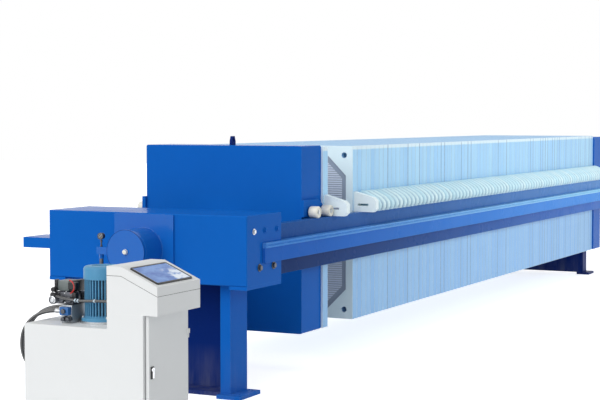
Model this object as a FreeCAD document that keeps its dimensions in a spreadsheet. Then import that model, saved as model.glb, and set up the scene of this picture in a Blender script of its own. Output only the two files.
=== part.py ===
import FreeCAD, Part
import Sketcher
import math
import os
import re

# Plate filter press with its hydraulic station, in millimetres.
# X runs along the press from the hydraulic end to the thrust end, Y across it, Z up.
# The origin is on the floor, midway between the feet of the hydraulic end.

document = FreeCAD.newDocument("FilterPress")
vector = FreeCAD.Vector

sizes = {
    # plate pack
    "plate_size": 1250, "plate_bottom": 292, "plate_pitch": 80, "cloth_gap": 2, "plate_count": 80,
    "pack_front": 1600, "recess_margin": 55, "recess_cut": 160, "recess_depth": 14,
    "port_radius": 22.5, "port_inset": 68,
    "handle_reach": 175, "handle_root": 150, "handle_tip": 104, "handle_thick": 54, "handle_bevel": 22,
    "handle_socket": 12, "grip_width": 84, "grip_height": 16, "grip_lift": 44, "grip_inset": 34,
    # side beams and what they carry
    "beam_clearance": 15, "beam_thick": 60, "beam_bottom": 745, "beam_top": 1069, "beam_tongue": 160,
    "guard_start": 8, "guard_depth": 50, "guard_bottom": 842, "guard_height": 93,
    "rail_height": 32, "rail_depth": 57, "rail_groove": 7,
    # hydraulic end
    "seat_ahead": 200, "seat_length": 460, "seat_height": 434, "seat_cheek": 32, "seat_bevel": 5,
    "cap_plate": 22, "cap_width": 124, "leg_depth": 220, "leg_width": 70, "leg_outer": 565, "seat_drop": 33,
    "web_plate": 16, "sill_ahead": 85, "foot_plate": 25, "foot_out": 95, "foot_ahead": 55,
    "anchor_radius": 11, "anchor_spacing": 160, "anchor_inset": 42,
    "barrel_radius": 137, "barrel_ahead": 198, "barrel_behind": 60, "barrel_floor": 30,
    "end_cap": 25, "plug_radius": 16, "plug_height": 14, "mount_plate": 12, "mount_half": 217,
    "tongue_gap": 0.5, "barrel_gap": 1, "rod_gap": 0.5,
    "rod_radius": 80, "rod_inside": 1080, "rod_flange": 40, "rod_flange_radius": 150,
    "cap_port": -395, "rod_port": -262, "port_drop": 28,
    "gauge_block": 44, "gauge_side": 195, "gauge_over": 24, "gauge_neck": 66, "gauge_radius": 21,
    "gauge_depth": 30, "gauge_stem": 14,
    # movable head
    "head_back": 800, "head_thick": 302, "head_narrower": 15, "head_below": 7, "head_above": 13,
    "head_round": 14, "roller_radius": 40, "roller_length": 68, "roller_lift": 0.3, "roller_gap": 6,
    "roller_spacing": 194, "journal_radius": 14, "journal_gap": 0.2,
    "bracket_thick": 26, "bracket_back": 20, "bracket_height": 112, "bracket_lift": 10, "bracket_slope": 95,
    "eye_width": 60, "eye_height": 62, "eye_thick": 16, "eye_radius": 13,
    # thrust end
    "thrust_thick": 280, "thrust_raised": 3, "thrust_lower": 12,
    "stand_behind": 92, "stand_depth": 145, "stand_half": 500, "stand_plate": 20,
    "thrust_foot_out": 66, "thrust_anchor_spacing": 100, "thrust_anchor_inset": 33,
    "feed_radius": 52, "feed_wall": 6, "feed_length": 110,
    "feed_flange_radius": 105, "feed_flange_thick": 18, "feed_bolt_circle": 85, "feed_bolt_radius": 9,
    # drive housing of the plate shifter, on the far side
    "drive_ahead": 192, "drive_width": 213, "drive_bottom": 893, "drive_height": 68, "drive_behind": 60,
    # hydraulic station
    "station_x": -1782, "station_depth": 430, "hood_front": -1071, "door_face": -984, "console_back": -766,
    "tank_length": 521, "tank_height": 658, "console_top": 985, "hood_bottom": 740, "hood_nose": 889,
    "hood_flat": 87, "sheet_wall": 4, "frame_rim": 27, "door_thick": 18, "door_sheet": 2, "door_rim": 14, "door_gap": 5,
    "door_foot": 90, "door_side": 19, "hinge_radius": 5, "hinge_out": 3, "hinge_length": 48,
    "hinge_high": 601, "hinge_low": 150, "lock_height": 444, "lock_size": 30, "lock_depth": 12,
    "panel_start": -1750, "panel_length": 352, "panel_foot": 20, "panel_width": 186, "panel_thick": 8,
    "panel_rim": 9, "panel_recess": 2, "panel_round": 14,
    "motor_radius": 98, "motor_y": -600, "motor_ahead": 215, "motor_flange": 30, "motor_flange_radius": 115,
    "motor_height": 225, "cowl_height": 50, "cowl_step": 5, "cowl_bevel": 16,
    # valves on the tank
    "block_start": -1680, "block_length": 180, "block_near": -478, "block_far": -410, "block_height": 96,
    "valve_far": -340, "valve_height": 70, "coil_height": 58, "coil_near": -478, "knob_radius": 22,
    "knob_depth": 26, "fitting_length": 20, "fitting_across": 15,
    # hoses and cable
    "hose_diameter": 18, "cable_diameter": 16, "plug_length": 33,
}

# places that follow from the sizes
places = {
    "beam_inner": "plate_size / 2 + beam_clearance",
    "beam_outer": "beam_inner + beam_thick",
    "plate_thick": "plate_pitch - cloth_gap",
    "plate_half": "plate_size / 2",
    "axis_height": "plate_bottom + plate_size / 2",
    "pack_end": "pack_front + plate_count * plate_pitch",
    "seat_back": "seat_length - seat_ahead",
    "seat_half": "beam_outer + seat_cheek",
    "seat_bottom": "beam_bottom - seat_drop",
    "leg_height": "seat_bottom - cap_plate - foot_plate",
    "seat_top": "seat_bottom + seat_height",
    "rail_bottom": "guard_bottom + guard_height",
    "head_front": "head_back + head_thick",
    "head_half": "plate_half - head_narrower",
    "head_bottom": "plate_bottom - head_below",
    "head_top": "plate_bottom + plate_size + head_above",
    "thrust_back": "pack_end + thrust_thick",
    "thrust_bottom": "plate_bottom + thrust_raised",
    "thrust_top": "plate_bottom + plate_size - thrust_lower",
    "gauge_shelf": "axis_height + gauge_over",
    "gauge_axis": "gauge_shelf + gauge_neck",
    "drive_reach": "seat_half + drive_width",
    "roller_height": "beam_top + roller_radius + roller_lift",
    "roller_start": "head_half + bracket_thick + roller_gap",
    "handle_end": "plate_half + handle_reach",
    "stand_front": "pack_end + stand_behind",
    "tank_end": "console_back + tank_length",
    "station_end": "station_x + station_depth",
    "door_back": "door_face - door_gap",
    "door_front": "door_back - door_thick",
    "block_top": "tank_height + block_height",
    "valve_top": "block_top + valve_height",
}


def bound(expression):
    """Name the sheet of every size and place in an expression."""
    def with_sheet(word):
        name = word.group(0)
        if name in sizes:
            return "Sizes." + name
        return "Places." + name if name in places else name
    return re.sub(r"[a-z]+(?:_[a-z]+)*", with_sheet, str(expression))


def fill_sheets():
    driving = document.addObject("Spreadsheet::Sheet", "Sizes")
    for row, (alias, value) in enumerate(sizes.items(), start=1):
        driving.set("A%d" % row, alias.replace("_", " "))
        driving.set("B%d" % row, str(value))
        driving.setAlias("B%d" % row, alias)
    document.recompute()
    derived = document.addObject("Spreadsheet::Sheet", "Places")
    for row, alias in enumerate(places, start=1):
        derived.set("A%d" % row, alias.replace("_", " "))
        derived.setAlias("B%d" % row, alias)
    for row, formula in enumerate(places.values(), start=1):
        derived.set("B%d" % row, "=" + bound(formula).replace("Places.", ""))
    document.recompute()
    return driving, derived


driving_sheet, derived_sheet = fill_sheets()


def size(alias):
    sheet = driving_sheet if alias in sizes else derived_sheet
    return float(sheet.get(alias))


nodes = []


def node(piece, name):
    """Mark a document object as one sub-part of the press."""
    piece.Label = name
    nodes.append(piece)
    return piece


def bind(piece, rules):
    for attribute, expression in rules.items():
        piece.setExpression(attribute, bound(expression))
    return piece


def place(piece, x=0, y=0, z=0):
    return bind(piece, {".Placement.Base.x": x, ".Placement.Base.y": y, ".Placement.Base.z": z})


# ---- Part primitives and booleans

def box(name, corner, extent):
    piece = document.addObject("Part::Box", name)
    bind(piece, {"Length": extent[0], "Width": extent[1], "Height": extent[2]})
    return place(piece, *corner)


def cylinder(name, centre, direction, radius, length):
    piece = document.addObject("Part::Cylinder", name)
    piece.Placement.Rotation = FreeCAD.Rotation(vector(0, 0, 1), vector(*direction))
    bind(piece, {"Radius": radius, "Height": length})
    return place(piece, *centre)


def fused(name, shapes):
    piece = document.addObject("Part::MultiFuse", name)
    piece.Shapes = shapes
    piece.Refine = True
    return piece


def cut(name, base, tool):
    piece = document.addObject("Part::Cut", name)
    piece.Base, piece.Tool = base, tool
    return piece


def together(name, shapes):
    """Solids that do not touch, kept as one sub-part."""
    piece = document.addObject("Part::Compound", name)
    piece.Links = shapes
    return piece


# ---- PartDesign bodies

def new_body(name):
    return document.addObject("PartDesign::Body", name)


def new_sketch(body, name, plane, offset=None):
    sketch = body.newObject("Sketcher::SketchObject", body.Name + "_" + name)
    origin_plane = next(feature for feature in body.Origin.OriginFeatures if feature.Role == plane)
    sketch.AttachmentSupport = [(origin_plane, "")]
    sketch.MapMode = "FlatFace"
    if offset is not None:
        sketch.setExpression(".AttachmentOffset.Base.z", bound(offset))
    return sketch


def tie(sketch, kind, geometry, point, start, expression):
    """Tie one coordinate of a sketch point to an expression; a zero puts the point on the axis."""
    if str(expression) == "0":
        axis = -2 if kind == "DistanceX" else -1
        sketch.addConstraint(Sketcher.Constraint("PointOnObject", geometry, point, axis))
        return
    index = sketch.addConstraint(Sketcher.Constraint(kind, -1, 1, geometry, point, start))
    label = "%s%d" % ("across" if kind == "DistanceX" else "upward", geometry)
    sketch.renameConstraint(index, label)
    sketch.setExpression("Constraints." + label, bound(expression))


def polygon(sketch, corners):
    """A closed outline whose corners are tied to expressions."""
    count = len(corners)
    first = sketch.GeometryCount
    angles = [2 * math.pi * index / count for index in range(count)]
    ring = [vector(1000 * math.cos(angle), 1000 * math.sin(angle), 0) for angle in angles]
    for index in range(count):
        sketch.addGeometry(Part.LineSegment(ring[index], ring[(index + 1) % count]), False)
    for index in range(count):
        following = first + (index + 1) % count
        sketch.addConstraint(Sketcher.Constraint("Coincident", first + index, 2, following, 1))
    for index, (across, upward) in enumerate(corners):
        tie(sketch, "DistanceX", first + index, 1, ring[index].x, across)
        tie(sketch, "DistanceY", first + index, 1, ring[index].y, upward)
    return sketch


def rectangle(sketch, low, high):
    return polygon(sketch, [(low[0], low[1]), (high[0], low[1]), (high[0], high[1]), (low[0], high[1])])


def circle(sketch, centre, radius):
    index = sketch.addGeometry(Part.Circle(vector(10, 10, 0), vector(0, 0, 1), 5), False)
    tie(sketch, "DistanceX", index, 3, 10, centre[0])
    tie(sketch, "DistanceY", index, 3, 10, centre[1])
    label = "radius%d" % index
    sketch.renameConstraint(sketch.addConstraint(Sketcher.Constraint("Radius", index, 5)), label)
    sketch.setExpression("Constraints." + label, bound(radius))
    return sketch


def pad(body, name, sketch, length):
    feature = body.newObject("PartDesign::Pad", body.Name + "_" + name)
    feature.Profile = sketch
    feature.setExpression("Length", bound(length))
    return feature


def pocket(body, name, sketch, length=None, backwards=False):
    feature = body.newObject("PartDesign::Pocket", body.Name + "_" + name)
    feature.Profile = sketch
    feature.Reversed = backwards
    if length is None:
        feature.Type = "ThroughAll"
    else:
        feature.setExpression("Length", bound(length))
    return feature


def revolved(body, name, sketch, kind="PartDesign::Revolution", axis="H_Axis"):
    feature = body.newObject(kind, body.Name + "_" + name)
    feature.Profile = sketch
    feature.ReferenceAxis = (sketch, [axis])
    feature.Angle = 360
    return feature


def dressed(body, name, kind, amount, wanted):
    """Fillet or chamfer the edges of the body that the test picks by their middle and direction."""
    document.recompute()
    base = body.Tip
    names = []
    for index, edge in enumerate(base.Shape.Edges, start=1):
        if edge.Curve.TypeId != "Part::GeomLine":
            continue
        if wanted(edge.CenterOfMass, edge.tangentAt(edge.FirstParameter)):
            names.append("Edge%d" % index)
    feature = body.newObject("PartDesign::" + kind, body.Name + "_" + name)
    feature.Base = (base, names)
    feature.setExpression("Radius" if kind == "Fillet" else "Size", bound(amount))
    return feature


def repeated(body, name, feature, sketch, pitch, count):
    """Copies of a feature in a row along the normal of its sketch."""
    pattern = body.newObject("PartDesign::LinearPattern", body.Name + "_" + name)
    pattern.Originals = [feature]
    pattern.Direction = (sketch, ["N_Axis"])
    pattern.setExpression("Length", bound("%s * (%s - 1)" % (pitch, count)))
    pattern.setExpression("Occurrences", bound(count))
    body.Tip = pattern
    return pattern


def corner_octagon(half, cut_corner, middle):
    """Square outline with its corners cut, centred on the given height."""
    corners = []
    for across, upward in ((1, 1), (-1, 1), (-1, -1), (1, -1)):
        level = "%d * (%s)" % (across, half), "%s + %d * (%s - %s)" % (middle, upward, half, cut_corner)
        upright = "%d * (%s - %s)" % (across, half, cut_corner), "%s + %d * (%s)" % (middle, upward, half)
        corners += [level, upright] if across * upward > 0 else [upright, level]
    return corners


def hexagon(centre, across):
    """Corners of a hexagon with the given half width over its corners."""
    return [("%s + %s * cos(%d)" % (centre[0], across, turn), "%s + %s * sin(%d)" % (centre[1], across, turn))
            for turn in range(0, 360, 60)]


# ---- plate pack

def handle_corners(side, root, outer_bevels):
    """Handle seen along the press, its flat underside on the beam and its end bevelled."""
    low, tip = "beam_top", "handle_end"
    corners = [(root, low)]
    if outer_bevels:
        corners += [(tip + " - handle_bevel", low), (tip, low + " + handle_bevel")]
    else:
        corners += [(tip, low)]
    corners += [(tip, low + " + handle_tip - handle_bevel"), (tip + " - handle_bevel", low + " + handle_tip"),
                (root, low + " + handle_root")]
    return [("%d * (%s)" % (side, across), upward) for across, upward in corners]


def port_places():
    return [("%d * (plate_half - port_inset)" % across, "axis_height + %d * (plate_half - port_inset)" % upward)
            for across in (1, -1) for upward in (1, -1)]


def filter_plate(name, front):
    """Recessed plate: chamber in each face, a port in each corner, a handle with a grip slot on each side."""
    body = new_body(name)
    outline = rectangle(new_sketch(body, "outline", "YZ_Plane"),
                        ("-plate_half", "plate_bottom"), ("plate_half", "plate_bottom + plate_size"))
    pad(body, "slab", outline, "plate_thick")
    handle_plane = "(plate_thick - handle_thick) / 2"
    handles = new_sketch(body, "handle_outline", "YZ_Plane", handle_plane)
    grips = new_sketch(body, "grip_outline", "YZ_Plane", handle_plane)
    for side in (1, -1):
        polygon(handles, handle_corners(side, "plate_half - handle_socket", True))
        rectangle(grips, ("%d * (plate_half + grip_inset)" % side, "beam_top + grip_lift"),
                  ("%d * (plate_half + grip_inset + grip_width)" % side, "beam_top + grip_lift + grip_height"))
    pad(body, "handles", handles, "handle_thick")
    pocket(body, "grips", grips, backwards=True)
    chamber = corner_octagon("plate_half - recess_margin", "recess_cut", "axis_height")
    front_face = polygon(new_sketch(body, "front_chamber", "YZ_Plane"), chamber)
    pocket(body, "front_recess", front_face, "recess_depth", backwards=True)
    back_face = polygon(new_sketch(body, "back_chamber", "YZ_Plane", "plate_thick"), chamber)
    pocket(body, "back_recess", back_face, "recess_depth")
    ports = new_sketch(body, "port_circles", "YZ_Plane")
    for centre in port_places():
        circle(ports, centre, "port_radius")
    pocket(body, "ports", ports, backwards=True)
    return place(body, x=front)


def plate_pack():
    node(filter_plate("front_filter_plate", "pack_front"), "front_filter_plate")
    plates = new_body("filter_plates")
    slab = rectangle(new_sketch(plates, "outline", "YZ_Plane"),
                     ("-plate_half", "plate_bottom"), ("plate_half", "plate_bottom + plate_size"))
    repeated(plates, "row", pad(plates, "slab", slab, "plate_thick"), slab, "plate_pitch", "(plate_count - 1)")
    node(place(plates, x="pack_front + plate_pitch"), "filter_plates")
    for side, label in ((-1, "near"), (1, "far")):
        row = new_body("plate_handles_" + label)
        outline = polygon(new_sketch(row, "outline", "YZ_Plane"), handle_corners(side, "plate_half", False))
        repeated(row, "row", pad(row, "arm", outline, "handle_thick"), outline, "plate_pitch", "(plate_count - 1)")
        node(place(row, x="pack_front + plate_pitch + (plate_thick - handle_thick) / 2"), "plate_handles_" + label)


# ---- side beams

def side_beams():
    start = "seat_back - beam_tongue"
    for side, label in ((-1, "near"), (1, "far")):
        low = "beam_inner" if side > 0 else "-beam_outer"
        name = "main_beam_" + label
        node(box(name, (start, low, "beam_bottom"),
                 ("thrust_back - (%s)" % start, "beam_thick", "beam_top - beam_bottom")), name)
    guards = [beam_cover("guard_" + label, side, guard_profile) for side, label in ((-1, "near"), (1, "far"))]
    node(together("chain_guards", guards), "chain_guards")
    rails = [beam_cover("rail_" + label, side, rail_profile) for side, label in ((-1, "near"), (1, "far"))]
    node(together("shifter_rails", rails), "shifter_rails")


def guard_profile():
    edge = "beam_outer + guard_depth"
    return [("beam_outer", "guard_bottom"), (edge, "guard_bottom"), (edge, "rail_bottom"), ("beam_outer", "rail_bottom")]


def rail_profile():
    """Rail with a V groove in its outer face for the wheels of the plate shifter."""
    edge, top = "beam_outer + rail_depth", "rail_bottom + rail_height"
    middle = "rail_bottom + rail_height / 2"
    return [("beam_outer", "rail_bottom"), (edge, "rail_bottom"), (edge, middle + " - rail_groove"),
            (edge + " - rail_groove", middle), (edge, middle + " + rail_groove"), (edge, top), ("beam_outer", top)]


def beam_cover(name, side, profile):
    """A profile along the beam's outer side, notched where it passes over the cheek of the seat."""
    body = new_body(name)
    corners = [("%d * (%s)" % (side, across), upward) for across, upward in profile()]
    pad(body, "length", polygon(new_sketch(body, "profile", "YZ_Plane"), corners), "thrust_back - guard_start")
    notch = rectangle(new_sketch(body, "notch", "YZ_Plane"),
                      ("%d * beam_outer" % side, "guard_bottom"),
                      ("%d * seat_half" % side, "rail_bottom + rail_height"))
    pocket(body, "cheek_notch", notch, "seat_back - guard_start", backwards=True)
    return place(body, x="guard_start")


# ---- hydraulic end

def seat_block():
    """Cross block that holds the cylinder in its bore and both beams in sockets at its back."""
    body = new_body("cylinder_seat")
    outline = rectangle(new_sketch(body, "outline", "YZ_Plane"),
                        ("-seat_half", "seat_bottom"), ("seat_half", "seat_top"))
    pad(body, "block", outline, "seat_length")
    dressed(body, "front_bevels", "Chamfer", "seat_bevel",
            lambda middle, direction: middle.x < 1 and abs(direction.x) < 0.1)
    bore = circle(new_sketch(body, "bore_circle", "YZ_Plane"), ("0", "axis_height"), "barrel_radius + barrel_gap")
    pocket(body, "bore", bore, backwards=True)
    sockets = new_sketch(body, "socket_outline", "YZ_Plane", "seat_length")
    for side in (1, -1):
        rectangle(sockets, ("%d * (beam_inner - tongue_gap)" % side, "beam_bottom - tongue_gap"),
                  ("%d * (beam_outer + tongue_gap)" % side, "beam_top + tongue_gap"))
    pocket(body, "beam_sockets", sockets, "beam_tongue")
    node(place(body, x="-seat_ahead"), "cylinder_seat")


def cylinder_barrel():
    """Closed barrel with its end cap, mounting plate, two oil ports and the block that carries the gauge."""
    body = new_body("hydraulic_cylinder")
    flange = rectangle(new_sketch(body, "plate_outline", "YZ_Plane", "-mount_plate"),
                       ("-mount_half", "seat_bottom - axis_height + seat_bevel"),
                       ("mount_half", "seat_top - axis_height - seat_bevel"))
    pad(body, "mounting_plate", flange, "mount_plate")
    nose, cap = "-barrel_ahead - end_cap - plug_height", "-barrel_ahead - end_cap"
    tail = "seat_length + barrel_behind"
    turned = [(nose, "0"), (nose, "plug_radius"), (cap, "plug_radius"), (cap, "barrel_radius"),
              (tail, "barrel_radius"), (tail, "0")]
    revolved(body, "barrel", polygon(new_sketch(body, "turned_outline", "XZ_Plane"), turned))
    blocks = rectangle(new_sketch(body, "block_outline", "XY_Plane", "-gauge_block / 2"),
                       ("cap_port + seat_ahead - gauge_block / 2", "barrel_radius * 0.9"),
                       ("cap_port + seat_ahead + gauge_block / 2", "gauge_side + gauge_block / 2"))
    pad(body, "port_block", blocks, "gauge_shelf - axis_height + gauge_block / 2")
    side_port = polygon(new_sketch(body, "side_port_outline", "XY_Plane", "-gauge_block / 2 - port_drop"),
                        hexagon(("cap_port + seat_ahead", "gauge_side"), "fitting_across"))
    pad(body, "side_port", side_port, "port_drop")
    ports = new_sketch(body, "port_outline", "XY_Plane", "-barrel_radius - port_drop")
    for centre in ("cap_port", "rod_port"):
        polygon(ports, hexagon(("%s + seat_ahead" % centre, "0"), "fitting_across"))
    pad(body, "oil_ports", ports, "port_drop + fitting_across")
    chamber = circle(new_sketch(body, "chamber_circle", "YZ_Plane", tail), ("0", "0"), "rod_radius + rod_gap")
    pocket(body, "chamber", chamber, "barrel_ahead + %s - barrel_floor" % tail)
    node(place(body, x="-seat_ahead", z="axis_height"), "hydraulic_cylinder")


def pressure_gauge():
    """Round dial on a square stem, on the port block of the cylinder."""
    stem = box("gauge_neck", ("cap_port - gauge_stem / 2", "gauge_side - gauge_stem / 2", "gauge_shelf"),
               ("gauge_stem", "gauge_stem", "gauge_axis - gauge_shelf"))
    dial = cylinder("gauge_dial", ("cap_port - gauge_depth / 2", "gauge_side", "gauge_axis"), (1, 0, 0),
                    "gauge_radius", "gauge_depth")
    node(fused("pressure_gauge", [stem, dial]), "pressure_gauge")


def leg_pair():
    """Both legs with the cap plates that they carry the seat on."""
    legs = []
    for side, label in ((-1, "near"), (1, "far")):
        low = "leg_outer - leg_width" if side > 0 else "-leg_outer"
        post = box("leg_" + label, ("-leg_depth / 2", low, "foot_plate"), ("leg_depth", "leg_width", "leg_height"))
        low = "seat_half - cap_width" if side > 0 else "-seat_half"
        # the cap plate reaches inwards past the leg, so that the leg stands under it
        cap = box("leg_cap_" + label, ("-seat_ahead", low, "foot_plate + leg_height"),
                  ("seat_length", "cap_width", "cap_plate"))
        inner = "leg_outer - leg_width" if side > 0 else "-(seat_half - cap_width)"
        tie_plate = box("leg_tie_" + label, ("-leg_depth / 2", inner, "foot_plate + leg_height"),
                        ("leg_depth", "seat_half - cap_width - leg_outer + leg_width", "cap_plate"))
        legs.append(fused("leg_with_cap_" + label, [post, cap, tie_plate]))
    node(together("head_end_legs", legs), "head_end_legs")
    inner = "leg_outer - leg_width"
    web = box("web", ("leg_depth / 2 - web_plate", "-(%s)" % inner, "0"), ("web_plate", "2 * (%s)" % inner, "seat_bottom"))
    sill = box("sill", ("-sill_ahead", "-(%s)" % inner, "0"),
               ("sill_ahead + leg_depth / 2", "2 * (%s)" % inner, "foot_plate"))
    node(fused("head_end_web", [web, sill]), "head_end_web")


def feet(name, front, depth, inner, width, middle, spacing, inset):
    """A base plate under each leg, with two anchor holes outside the leg."""
    plates = []
    for side, label in ((-1, "near"), (1, "far")):
        body = new_body("%s_%s" % (name, label))
        outline = rectangle(new_sketch(body, "outline", "XY_Plane"),
                            (front, "%d * (%s)" % (side, inner)),
                            ("%s + %s" % (front, depth), "%d * (%s + %s)" % (side, inner, width)))
        pad(body, "plate", outline, "foot_plate")
        holes = new_sketch(body, "anchor_circles", "XY_Plane")
        for along in (-1, 1):
            circle(holes, ("%s + %d * %s / 2" % (middle, along, spacing),
                           "%d * (%s + %s - %s)" % (side, inner, width, inset)), "anchor_radius")
        pocket(body, "anchor_holes", holes, backwards=True)
        plates.append(body)
    return together(name, plates)


def hydraulic_end():
    seat_block()
    cylinder_barrel()
    pressure_gauge()
    leg_pair()
    node(feet("head_end_feet", "-leg_depth / 2 - foot_ahead", "leg_depth + foot_ahead", "leg_outer - leg_width",
              "leg_width + foot_out", "0", "anchor_spacing", "anchor_inset"), "head_end_feet")


# ---- movable head

def roller_side(side, label):
    """Carrier on the side of the head, and the rollers whose journals turn in its two bores."""
    body = new_body("roller_carrier_" + label)
    low, high = "beam_top + bracket_lift", "beam_top + bracket_lift + bracket_height"
    outline = [("-bracket_back", low), ("head_thick", low), ("head_thick", high + " - bracket_height / 2"),
               ("head_thick - bracket_slope", high), ("-bracket_back", high)]
    inner = "head_half" if side < 0 else "-head_half - bracket_thick"
    pad(body, "cheek", polygon(new_sketch(body, "outline", "XZ_Plane", inner), outline), "bracket_thick")
    bores = new_sketch(body, "bore_circles", "XZ_Plane", inner)
    for index in range(2):
        # the leading roller ends flush with the front of the head, where the filter plate begins
        centre = "head_thick - roller_radius - %d * roller_spacing" % (1 - index)
        circle(bores, (centre, "roller_height"), "journal_radius + journal_gap")
        name = "roller_%s_%d" % (label, index + 1)
        spot = "head_back + " + centre
        tread = cylinder(name + "_tread", (spot, "%d * roller_start" % side, "roller_height"), (0, side, 0),
                         "roller_radius", "roller_length")
        journal = cylinder(name + "_journal", (spot, "%d * (head_half + journal_gap)" % side, "roller_height"),
                           (0, side, 0), "journal_radius", "roller_start - head_half")
        node(fused(name, [tread, journal]), name)
    pocket(body, "bores", bores, backwards=True)
    return place(body, x="head_back")


def movable_head():
    head = new_body("movable_head")
    outline = rectangle(new_sketch(head, "outline", "YZ_Plane"), ("-head_half", "head_bottom"), ("head_half", "head_top"))
    pad(head, "housing", outline, "head_thick")
    dressed(head, "rounded_corners", "Fillet", "head_round", lambda middle, direction: abs(direction.x) > 0.9)
    node(place(head, x="head_back"), "movable_head")
    node(filter_plate("head_filter_plate", "head_front"), "head_filter_plate")
    carriers = [roller_side(side, label) for side, label in ((-1, "near"), (1, "far"))]
    node(together("roller_brackets", carriers), "roller_brackets")

    eye = new_body("lifting_eye")
    half = "eye_width / 2"
    plate = [("-" + half, "0"), (half, "0"), (half, "eye_height * 0.45"), (half + " * 0.55", "eye_height"),
             ("-%s * 0.55" % half, "eye_height"), ("-" + half, "eye_height * 0.45")]
    pad(eye, "plate", polygon(new_sketch(eye, "outline", "XZ_Plane"), plate), "eye_thick")
    hole = circle(new_sketch(eye, "hole_circle", "XZ_Plane"), ("0", "eye_height * 0.55"), "eye_radius")
    pocket(eye, "hole", hole, backwards=True)
    node(place(eye, "head_back + head_thick / 2", "eye_thick / 2", "head_top"), "lifting_eye")

    rod = new_body("piston_rod")
    turned = [("-rod_inside", "0"), ("-rod_inside", "rod_radius"), ("-rod_flange", "rod_radius"),
              ("-rod_flange", "rod_flange_radius"), ("0", "rod_flange_radius"), ("0", "0")]
    revolved(rod, "turned", polygon(new_sketch(rod, "turned_outline", "XZ_Plane"), turned))
    node(place(rod, x="head_back", z="axis_height"), "piston_rod")


# ---- thrust end

def thrust_end():
    body = new_body("thrust_plate")
    outline = rectangle(new_sketch(body, "outline", "YZ_Plane"),
                        ("-beam_inner", "thrust_bottom"), ("beam_inner", "thrust_top"))
    pad(body, "block", outline, "thrust_thick")
    pipe = circle(new_sketch(body, "pipe_circle", "YZ_Plane", "thrust_thick"), ("0", "axis_height"),
                  "feed_radius + feed_wall")
    pad(body, "feed_pipe", pipe, "feed_length")
    flange = circle(new_sketch(body, "flange_circle", "YZ_Plane", "thrust_thick + feed_length - feed_flange_thick"),
                    ("0", "axis_height"), "feed_flange_radius")
    pad(body, "feed_flange", flange, "feed_flange_thick")
    bores = new_sketch(body, "bore_circles", "YZ_Plane")
    for centre in port_places():
        circle(bores, centre, "port_radius")
    circle(bores, ("0", "axis_height"), "feed_radius")
    pocket(body, "bores", bores, backwards=True)
    bolts = new_sketch(body, "bolt_circles", "YZ_Plane", "thrust_thick + feed_length")
    for turn in (45, 135, 225, 315):
        circle(bolts, ("feed_bolt_circle * cos(%d)" % turn, "axis_height + feed_bolt_circle * sin(%d)" % turn),
               "feed_bolt_radius")
    pocket(body, "bolt_holes", bolts, "feed_flange_thick")
    node(place(body, x="pack_end"), "thrust_plate")

    stand = new_body("thrust_stand")
    outside = rectangle(new_sketch(stand, "outline", "XY_Plane"), ("stand_front", "-stand_half"),
                        ("stand_front + stand_depth", "stand_half"))
    pad(stand, "block", outside, "thrust_bottom - foot_plate")
    inside = rectangle(new_sketch(stand, "hollow_outline", "XY_Plane"),
                       ("stand_front + stand_plate", "-stand_half + stand_plate"),
                       ("stand_front + stand_depth + stand_plate", "stand_half - stand_plate"))
    pocket(stand, "hollow", inside, backwards=True)
    node(place(stand, z="foot_plate"), "thrust_stand")
    node(feet("thrust_feet", "stand_front", "stand_depth + thrust_foot_out", "stand_half - leg_width",
              "leg_width + thrust_foot_out", "(stand_front + stand_depth / 2)", "thrust_anchor_spacing",
              "thrust_anchor_inset"), "thrust_feet")


def drive_housing():
    """Housing of the plate shifter's drive, notched around the start of the rail."""
    body = new_body("drive_housing")
    outline = [("-drive_ahead", "seat_half"), ("guard_start", "seat_half"), ("guard_start", "beam_outer + rail_depth"),
               ("drive_behind", "beam_outer + rail_depth"), ("drive_behind", "drive_reach"), ("-drive_ahead", "drive_reach")]
    pad(body, "block", polygon(new_sketch(body, "outline", "XY_Plane"), outline), "drive_height")
    node(place(body, z="drive_bottom"), "drive_housing")


# ---- hydraulic station

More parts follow.
